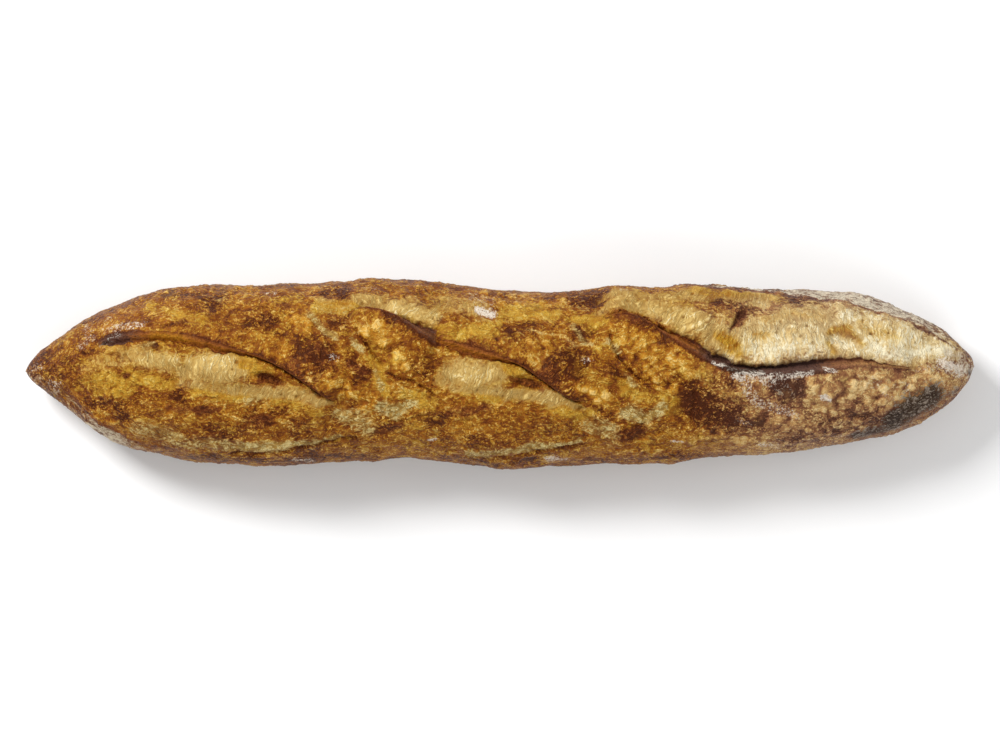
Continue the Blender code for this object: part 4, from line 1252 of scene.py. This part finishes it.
class Nodes:
    """Builds a node tree from short calls, which return the sockets that they make."""

    def __init__(self, material):
        material.use_nodes = True
        self.tree = material.node_tree
        self.tree.nodes.clear()

    def add(self, kind, **settings):
        """A new node with its settings. This call alone returns the node itself."""
        node = self.tree.nodes.new(kind)
        for name, value in settings.items():
            setattr(node, name, value)
        return node

    def put(self, socket, value):
        """Links a socket to another one, or sets its own value."""
        if isinstance(value, bpy.types.NodeSocket):
            self.tree.links.new(value, socket)
        elif socket.type == "RGBA":
            socket.default_value = (*value, 1.0)
        else:
            socket.default_value = value

    def stored(self, name):
        """The three stored numbers of one name."""
        return self.split(self.add("ShaderNodeAttribute", attribute_name=name).outputs["Vector"])

    def split(self, vector):
        """A vector's three numbers."""
        node = self.add("ShaderNodeSeparateXYZ")
        self.put(node.inputs[0], vector)
        return node.outputs[0], node.outputs[1], node.outputs[2]

    def join(self, x, y, z=0.0):
        """A vector made of three numbers."""
        node = self.add("ShaderNodeCombineXYZ")
        for socket, value in zip(node.inputs, (x, y, z)):
            self.put(socket, value)
        return node.outputs[0]

    def math(self, operation, first, second=0.0):
        """One step of arithmetic with two numbers."""
        node = self.add("ShaderNodeMath", operation=operation)
        self.put(node.inputs[0], first)
        self.put(node.inputs[1], second)
        return node.outputs[0]

    def sum(self, start, *terms):
        """start plus each term's value times its weight."""
        total = start
        for value, weight in terms:
            node = self.add("ShaderNodeMath", operation="MULTIPLY_ADD")
            for socket, part in zip(node.inputs, (value, weight, total)):
                self.put(socket, part)
            total = node.outputs[0]
        return total

    def times(self, first, second):
        """Two numbers multiplied."""
        return self.math("MULTIPLY", first, second)

    def span(self, value, low, high, to_low=0.0, to_high=1.0):
        """value, taken smoothly from the range low to high onto another range, and held inside it."""
        node = self.add("ShaderNodeMapRange", interpolation_type="SMOOTHSTEP")
        for socket, number in zip(node.inputs, (value, low, high, to_low, to_high)):
            self.put(socket, number)
        return node.outputs[0]

    def patchy(self, mark, noise, low, high, most=1.0):
        """Share of a marked layer: its strength broken up by noise, and nothing where it isn't marked."""
        share = self.span(self.math("ADD", mark, noise), low, high, 0.0, most)
        return self.times(share, self.span(mark, 0.0, 0.12))

    def noise(self, place, size, detail=2.0, roughness=0.5, distortion=0.0):
        """Cloudy noise, around zero, whose clouds are about size millimetres across."""
        node = self.add("ShaderNodeTexNoise")
        settings = (("Vector", place), ("Scale", 1.0 / size), ("Detail", detail))
        for name, value in (*settings, ("Roughness", roughness), ("Distortion", distortion)):
            self.put(node.inputs[name], value)
        return self.math("SUBTRACT", node.outputs["Fac"], 0.5)

    def lines(self, place, size, width, distortion):
        """Thin wandering lines, about size millimetres apart."""
        away = self.math("ABSOLUTE", self.noise(place, size, detail=1.0, distortion=distortion))
        return self.span(away, width, 0.0)

    def domes(self, place, size, low, high):
        """Scattered round domes, size millimetres apart, that rise from 0 to 1."""
        node = self.add("ShaderNodeTexVoronoi")
        self.put(node.inputs["Vector"], place)
        self.put(node.inputs["Scale"], 1.0 / size)
        return self.span(node.outputs["Distance"], high, low)

    def stretched(self, place, scale):
        """A place scaled along each axis. A scale below 1 draws out what depends on it."""
        node = self.add("ShaderNodeMapping")
        self.put(node.inputs["Vector"], place)
        self.put(node.inputs["Scale"], Vector(scale))
        return node.outputs[0]

    def mix(self, share, first, second):
        """The first colour where share is 0, and the second where it is 1."""
        node = self.add("ShaderNodeMix", data_type="RGBA")
        colours = [socket for socket in node.inputs if socket.type == "RGBA"]
        for socket, value in zip((node.inputs[0], *colours), (share, first, second)):
            self.put(socket, value)
        return [socket for socket in node.outputs if socket.type == "RGBA"][0]

    def ramp(self, value, *stops):
        """A scale of colours, each given as its place on the scale and its colour."""
        node = self.add("ShaderNodeValToRGB")
        elements = node.color_ramp.elements
        while len(elements) < len(stops):
            elements.new(0.5)
        for element, (place, rgb) in zip(elements, stops):
            element.position = place
            element.color = (*rgb, 1.0)
        self.put(node.inputs[0], value)
        return node.outputs[0]


class Fields:
    """Noises and stored numbers that several layers of the material share."""

    def __init__(self, nodes):
        self.nodes = nodes
        self.place = nodes.add("ShaderNodeAttribute", attribute_name="rest_mm").outputs["Vector"]
        self.length, _, self.height = nodes.split(self.place)
        self.along_lip, self.from_lip, self.base = nodes.stored("tear")
        self.torn, self.face, self.burnt_lip = nodes.stored("lip")
        self.dark, self.rust, self.char = nodes.stored("browning")
        self.flour, self.straw, self.amber = nodes.stored("bloom")
        self.crumb, self.white, self.pore = nodes.stored("crumb")
        self.blister, self.cobble, self.hollow = nodes.stored("relief")
        streaky = nodes.stretched(self.place, STREAKINESS)
        self.large = nodes.noise(self.place, 22.0, distortion=0.6)
        self.middle = nodes.noise(streaky, 7.5, distortion=1.6)
        self.fine = nodes.noise(streaky, 2.8, distortion=2.0)
        self.flecks = nodes.noise(self.place, 0.8, roughness=0.6)
        self.hue = nodes.noise(self.place, 9.0, detail=3.0, roughness=0.55, distortion=0.8)
        # The dots lighten the colour as painted glints, and raise small domes in the bump.
        self.dots = nodes.domes(self.place, 1.7, 0.1, 0.42)
        self.bubbles = nodes.domes(self.place, 4.2, 0.34, 0.6)
        broken = nodes.span(self.blend(0.0, fine=1.0, flecks=0.7), -0.12, 0.12)
        self.wisps = nodes.times(nodes.lines(self.place, 2.8, 0.08, 2.2), broken)
        self.hairs = nodes.times(nodes.lines(streaky, 1.6, 0.1, 1.2), broken)
        curl = self.blend(0.0, hue=6.5, middle=2.6, fine=0.6)
        down_crumb = nodes.times(self.from_lip, THREAD_STRETCH)
        torn_place = nodes.join(nodes.math("ADD", self.along_lip, curl), down_crumb)
        self.threads = nodes.noise(torn_place, 0.85, roughness=0.55, distortion=0.2)
        self.strands = nodes.lines(torn_place, 1.4, 0.06, 0.5)
        self.bands = nodes.noise(torn_place, 3.2, distortion=0.6)
        rim = nodes.times(nodes.span(self.torn, -0.4, -0.05), nodes.span(self.torn, 0.5, 0.1))
        self.rim = nodes.times(rim, nodes.span(self.from_lip, -4.0, -0.5))
        self.tone = self.shared_tone(nodes)

    def blend(self, start, **weights):
        """start plus each named field times its weight."""
        return self.nodes.sum(start, *((getattr(self, name), weight) for name, weight in weights.items()))

    def shared_tone(self, nodes):
        """How light the crust is, from 0 to 1, before it gets its hue."""
        # Painted shade: darker towards the floor on the lower sides.
        edge = nodes.span(self.height, *PAINTED_SHADE_BELOW, 0.0, EDGE_PAINTED_SHADE)
        # Painted shade and highlight: blister tops are lightened and the ground between them darkened,
        # most where cobbles crowd. The bubbles' domes are lighter in the middle and darker at their rims.
        painted_blister_shading = self.blend(-0.3, blister=1.0, cobble=-0.3)
        crowding = self.blend(0.2, cobble=0.4)
        painted_dome_shading = self.blend(-0.5, bubbles=1.0)
        far = nodes.span(self.length, *PALER_FROM)
        # Small specks: the dots are painted glints, and the wisps and hairs are light strands of the crust
        # that also stand in for glints. They weigh more where the crust is dark.
        smoother = nodes.sum(1.0, (self.cobble, -0.4), (self.dark, 0.7), (far, 0.35))
        small = self.blend(0.0, fine=0.42, flecks=0.3, dots=0.13, wisps=0.32)
        return nodes.sum(
            0.36,
            (self.large, 0.4),
            (self.middle, 0.76),
            (nodes.times(small, smoother), 1.0),
            (self.hairs, 0.26),
            (self.dark, -0.39),
            (self.rust, -0.06),
            (self.rim, -0.16),
            (self.cobble, 0.19),
            (nodes.times(painted_blister_shading, crowding), 1.0),
            (nodes.times(painted_dome_shading, self.blend(0.06, cobble=0.34)), 1.0),
            (far, 0.04),
            (edge, -1.0),
        )


def crust_colour(nodes, tones, fields):
    """Mottled crust. One tone drives a brown, an amber, a straw and a rust-red scale of colours."""
    crust = nodes.ramp(
        fields.tone,
        (0.0, tones.burnt),
        (0.19, tones.dark),
        (0.38, tones.brown),
        (0.56, tones.ochre),
        (0.76, tones.gold),
        (0.98, tones.cream),
    )
    amber = nodes.ramp(
        fields.tone, (0.05, tones.amber_dark), (0.54, tones.amber), (1.0, tones.amber_light)
    )
    strandy = fields.blend(0.4, wisps=0.5, hairs=0.4, fine=0.8, middle=0.8)
    straw = nodes.ramp(strandy, (0.1, tones.straw_dark), (0.5, tones.straw), (0.9, tones.straw_light))
    rust = nodes.ramp(
        fields.tone, (0.0, tones.burnt), (0.2, tones.rust_dark), (0.6, tones.rust), (1.0, tones.gold)
    )
    amber_share = fields.blend(-0.05, amber=1.1, crumb=0.8, hue=2.6, fine=1.0)
    look = nodes.mix(nodes.span(amber_share, 0.0, 0.9), crust, amber)
    straw_share = fields.blend(-0.1, straw=1.1, middle=1.2, fine=1.0)
    look = nodes.mix(nodes.span(straw_share, 0.0, 0.9), look, straw)
    rust_share = fields.blend(0.0, rust=1.0, dark=0.35, rim=0.4, middle=-1.6, fine=0.6)
    return nodes.mix(nodes.span(rust_share, 0.08, 0.8), look, rust)


def crumb_colour(nodes, tones, fields):
    """Torn crumb: pale ridges that run away from the lip, with golden hollows between them that are
    darkened by painted shade, as is the crumb close to the lip.
    """
    uneven = fields.blend(0.0, threads=0.95, bands=0.5, middle=0.45, fine=0.35, flecks=0.25)
    roughness = nodes.span(fields.length, *ROUGH_FROM, CALM_THREADS, ROUGH_THREADS)
    light = nodes.sum(
        0.17,
        (fields.white, 0.5),
        (fields.crumb, 0.06),
        (fields.strands, 0.34),
        # Painted shade of the lip on the crumb next to it.
        (nodes.span(fields.from_lip, 5.0, 1.0), -0.12),
        (nodes.span(fields.length, *PALER_FROM), 0.18),
        (fields.dark, -0.4),
        (nodes.times(uneven, roughness), 1.0),
        # Painted shade in the pores.
        (fields.pore, -0.5),
    )
    torn = nodes.ramp(
        light,
        (0.0, tones.crumb_dark_and_shade),
        (0.35, tones.crumb),
        (0.65, tones.crumb_light),
        (0.95, tones.crumb_white),
    )
    amber = nodes.ramp(light, (0.2, tones.amber_dark), (0.75, tones.amber), (1.0, tones.amber_light))
    amber_share = fields.blend(0.0, amber=1.0, dark=0.3, fine=1.2, middle=0.6)
    return nodes.mix(nodes.span(amber_share, 0.2, 0.85), torn, amber)


def face_colour(nodes, tones, fields):
    """The torn face under a lip: golden to red-brown where it baked, and sooty where it burnt, darkened
    there by painted shadow as well.
    """
    streak_place = nodes.join(nodes.times(fields.along_lip, 0.3), fields.from_lip)
    streaks = nodes.noise(streak_place, 1.0, detail=3.0, roughness=0.6, distortion=0.5)
    across = nodes.sum(0.0, (fields.torn, 1.0), (streaks, 0.6))
    baked = nodes.ramp(
        across,
        (0.0, tones.rust_dark),
        (0.28, tones.rust),
        (0.52, tones.brown),
        (0.78, tones.rust),
        (1.0, tones.rust_dark),
    )
    golden = nodes.ramp(
        across, (0.0, tones.brown), (0.4, tones.ochre), (0.75, tones.brown), (1.0, tones.rust_dark)
    )
    reddened = nodes.span(nodes.sum(fields.burnt_lip, (streaks, 0.4)), 0.04, 0.28)
    baked = nodes.mix(reddened, golden, baked)
    # Painted shadow as well as soot: the scorched scale darkens the torn face in the gap under the tallest
    # lips.
    scorched_and_shaded = nodes.ramp(across, (0.0, tones.burnt), (0.35, tones.soot_and_shade), (1.0, tones.soot_and_shade))
    share = nodes.sum(0.0, (fields.burnt_lip, 1.0), (streaks, 0.8))
    return nodes.mix(nodes.span(share, 0.3, 0.8), baked, scorched_and_shaded)


def flour_share(nodes, fields):
    """Where flour lies: fine grains, thickest in the middle of each dusted place."""
    grains = nodes.noise(fields.place, 0.7, roughness=0.7)
    uneven = nodes.sum(-0.35, (fields.flour, 0.2), (grains, 2.4), (fields.fine, 1.2))
    return nodes.patchy(fields.flour, uneven, 0.22, 0.95, MOST_COVERED)


def split_colour(nodes, tones, fields):
    """The dark inside of a split in the crumb."""
    uneven = fields.blend(0.3, fine=2.0, flecks=1.5)
    return nodes.ramp(uneven, (0.15, tones.burnt), (0.95, tones.rust))


def base_colour(nodes, tones, fields):
    """Grey-brown to floury crust, as on the underside."""
    uneven = fields.blend(0.2, base=0.42, middle=1.6, fine=1.9, flecks=1.1, wisps=0.15)
    return nodes.ramp(uneven, (0.2, tones.base_dark), (0.8, tones.base_light))


def base_share(nodes, fields):
    """Where base crust shows: near the floor, and where it is marked."""
    level = fields.blend(fields.height, middle=FLOOR_SIDE_WAVER)
    floor_side = nodes.span(level, *FLOOR_SIDE, 0.0, MOST_BASE)
    uneven = fields.blend(0.0, fine=0.9, middle=1.2, flecks=0.5)
    return nodes.math("MAXIMUM", floor_side, nodes.patchy(fields.base, uneven, 0.2, 0.95))


def char_colour(nodes, tones, fields):
    """Charred crust with paler specks."""
    sooty = fields.blend(0.4, middle=1.2, fine=2.4, flecks=1.8, wisps=0.25, hairs=0.25)
    return nodes.ramp(sooty, (0.5, tones.char), (1.0, tones.ash))


def greyed(nodes, fields, look):
    """A colour, made greyer towards the right end, least where it is marked as amber."""
    weaker = nodes.span(fields.length, *GREYER_FROM, 1.0, LEAST_SATURATION)
    change = nodes.add("ShaderNodeHueSaturation")
    saturation = nodes.math("MINIMUM", fields.blend(weaker, amber=0.1), 1.0)
    nodes.put(change.inputs["Saturation"], saturation)
    nodes.put(change.inputs["Color"], look)
    return change.outputs[0]


def layered_colour(nodes, tones, fields, crumb_share, dusting):
    """The crust with everything that shows through or lies on it."""
    look = nodes.mix(crumb_share, crust_colour(nodes, tones, fields), crumb_colour(nodes, tones, fields))
    look = nodes.mix(nodes.span(fields.face, 0.2, 0.7), look, face_colour(nodes, tones, fields))
    uneven = fields.blend(0.0, fine=1.4, middle=0.8)
    split_share = nodes.patchy(fields.hollow, uneven, 0.2, 0.8)
    look = nodes.mix(split_share, look, split_colour(nodes, tones, fields))
    look = nodes.mix(base_share(nodes, fields), look, base_colour(nodes, tones, fields))
    uneven = fields.blend(0.0, middle=1.0, fine=1.8, flecks=1.4)
    char_share = nodes.patchy(fields.char, uneven, 0.15, 0.85, MOST_COVERED)
    look = nodes.mix(char_share, look, char_colour(nodes, tones, fields))
    return nodes.mix(dusting, greyed(nodes, fields, look), tones.flour)


def surface_height(nodes, fields, crumb_share):
    """Height of the finest relief, in millimetres, that the bump adds to the skin's own."""
    crust_height = fields.blend(0.0, dots=0.3, fine=0.9, flecks=0.25, wisps=0.2, hairs=0.16)
    bubbly = nodes.times(fields.bubbles, fields.blend(0.12, cobble=0.5))
    crust_height = nodes.math("ADD", crust_height, bubbly)
    crumb_height = fields.blend(0.0, threads=0.8, strands=0.2, bands=0.6, flecks=0.25)
    crumb_part = nodes.times(nodes.math("SUBTRACT", crumb_height, crust_height), crumb_share)
    return nodes.math("ADD", crust_height, crumb_part)


def baked_material(tones):
    """One material for the whole loaf: shiny crust, dry crumb and flour."""
    material = bpy.data.materials.new("baked_crust_and_crumb")
    nodes = Nodes(material)
    fields = Fields(nodes)
    ragged = fields.blend(0.0, crumb=1.0, middle=0.9, fine=1.0, threads=0.6, dark=-0.55, rust=-0.55)
    crumb_share = nodes.span(ragged, 0.08, 1.0)
    dusting = flour_share(nodes, fields)
    shader = nodes.add("ShaderNodeBsdfPrincipled")
    nodes.put(shader.inputs["Base Color"], layered_colour(nodes, tones, fields, crumb_share, dusting))
    dry = nodes.math("MAXIMUM", crumb_share, dusting)
    roughness = nodes.sum(CRUST_ROUGHNESS, (fields.dots, -0.1), (dry, 0.38), (fields.char, 0.15))
    nodes.put(shader.inputs["Roughness"], roughness)
    nodes.put(shader.inputs["Specular IOR Level"], GLOSS)
    nodes.put(shader.inputs["IOR"], CRUST_IOR)
    nodes.put(shader.inputs["Specular Tint"], tones.glint)
    bump = nodes.add("ShaderNodeBump")
    nodes.put(bump.inputs["Height"], surface_height(nodes, fields, crumb_share))
    nodes.put(bump.inputs["Distance"], MM)
    nodes.put(bump.inputs["Strength"], 1.0)
    nodes.put(shader.inputs["Normal"], bump.outputs[0])
    out = nodes.add("ShaderNodeOutputMaterial")
    nodes.put(out.inputs["Surface"], shader.outputs[0])
    return material


# ------------------------------------------------------------------ operators


class BAGUETTE_OT_skin(bpy.types.Operator):
    """Make the loaf's baked skin, with its torn slashes, blisters and crumb"""

    bl_idname = "baguette.skin"
    bl_label = "Baked skin"

    def execute(self, context):
        shape = context.scene.baguette_shape
        rings, points = FINE_GRID
        mesh = thinned(skin_mesh(make_skin(shape, rings, points)), shape.triangles)
        mesh.name = "baked_skin"
        mesh.materials.clear()
        mesh.materials.append(baked_material(context.scene.baguette_colours))
        mesh.shade_smooth()
        piece = bpy.data.objects.new("baked_skin", mesh)
        context.scene.collection.objects.link(piece)
        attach(piece, "root")
        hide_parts(NODE)
        return {"FINISHED"}


def area_light(name, place, size, power):
    """A soft lamp aimed at the loaf. Its place and size are in metres."""
    light = bpy.data.lights.new(name, "AREA")
    light.size = size
    light.energy = power
    lamp = bpy.data.objects.new(name, light)
    bpy.context.scene.collection.objects.link(lamp)
    lamp.location = place
    lamp.rotation_euler = (-Vector(place)).to_track_quat("-Z", "Y").to_euler()
    lamp.visible_camera = False


def add_floor():
    """A wide pale floor that isn't part of the loaf."""
    mesh = bpy.data.meshes.new("floor")
    corners = [(-FLOOR_REACH, -FLOOR_REACH, 0), (FLOOR_REACH, -FLOOR_REACH, 0)]
    corners += [(FLOOR_REACH, FLOOR_REACH, 0), (-FLOOR_REACH, FLOOR_REACH, 0)]
    mesh.from_pydata(corners, [], [(0, 1, 2, 3)])
    floor = bpy.data.objects.new("floor", mesh)
    bpy.context.scene.collection.objects.link(floor)
    paint = bpy.data.materials.new("pale_floor")
    paint.use_nodes = True
    shader = paint.node_tree.nodes["Principled BSDF"]
    shader.inputs["Base Color"].default_value = FLOOR_COLOUR
    shader.inputs["Roughness"].default_value = FLOOR_ROUGHNESS
    mesh.materials.append(paint)


def add_camera(stage):
    """A camera that looks straight down, with the photograph's width at the loaf's shoulder."""
    view = bpy.data.cameras.new("camera")
    view.lens = stage.camera_lens
    view.clip_end = CAMERA_SIGHT
    camera = bpy.data.objects.new("camera", view)
    bpy.context.scene.collection.objects.link(camera)
    distance = stage.picture_width / view.sensor_width * view.lens
    camera.location = (*CAMERA_AIM, SHOULDER_LEVEL + distance)
    bpy.context.scene.camera = camera


class BAGUETTE_OT_stage(bpy.types.Operator):
    """Make the pale floor, the soft lights and the camera that looks straight down"""

    bl_idname = "baguette.stage"
    bl_label = "Stage"

    def execute(self, context):
        stage = context.scene.baguette_stage
        add_floor()
        for name, place, size in LAMPS:
            area_light(name, place, size, getattr(stage, name + "_power"))
        world = bpy.data.worlds.new("even_light")
        world.use_nodes = True
        sky = world.node_tree.nodes["Background"]
        sky.inputs["Color"].default_value = WHITE
        sky.inputs["Strength"].default_value = stage.sky_strength
        context.scene.world = world
        add_camera(stage)
        context.scene.view_settings.view_transform = "Standard"
        return {"FINISHED"}


class BAGUETTE_PT_panel(bpy.types.Panel):
    """Sidebar panel with the loaf's settings and its making"""

    bl_label = "Baguette"
    bl_idname = "BAGUETTE_PT_panel"
    bl_space_type = "VIEW_3D"
    bl_region_type = "UI"
    bl_category = "Baguette"

    def draw(self, context):
        layout = self.layout
        for name, group in GROUPS.items():
            box = layout.box()
            for setting in group.__annotations__:
                box.prop(getattr(context.scene, name), setting)
        for operator in OPERATORS:
            layout.operator(operator.bl_idname)


GROUPS = {
    "baguette_shape": BaguetteShape,
    "baguette_colours": BaguetteColours,
    "baguette_stage": BaguetteStage,
}
OPERATORS = (BAGUETTE_OT_skin, BAGUETTE_OT_stage)


def register():
    for name, group in GROUPS.items():
        bpy.utils.register_class(group)
        setattr(bpy.types.Scene, name, PointerProperty(type=group))
    for item in (*OPERATORS, BAGUETTE_PT_panel):
        bpy.utils.register_class(item)


def unregister():
    for item in reversed((*OPERATORS, BAGUETTE_PT_panel)):
        bpy.utils.unregister_class(item)
    for name, group in reversed(GROUPS.items()):
        delattr(bpy.types.Scene, name)
        bpy.utils.unregister_class(group)


def main():
    register()
    bpy.ops.baguette.skin()
    bpy.ops.baguette.stage()


if __name__ == "__main__":
    main()
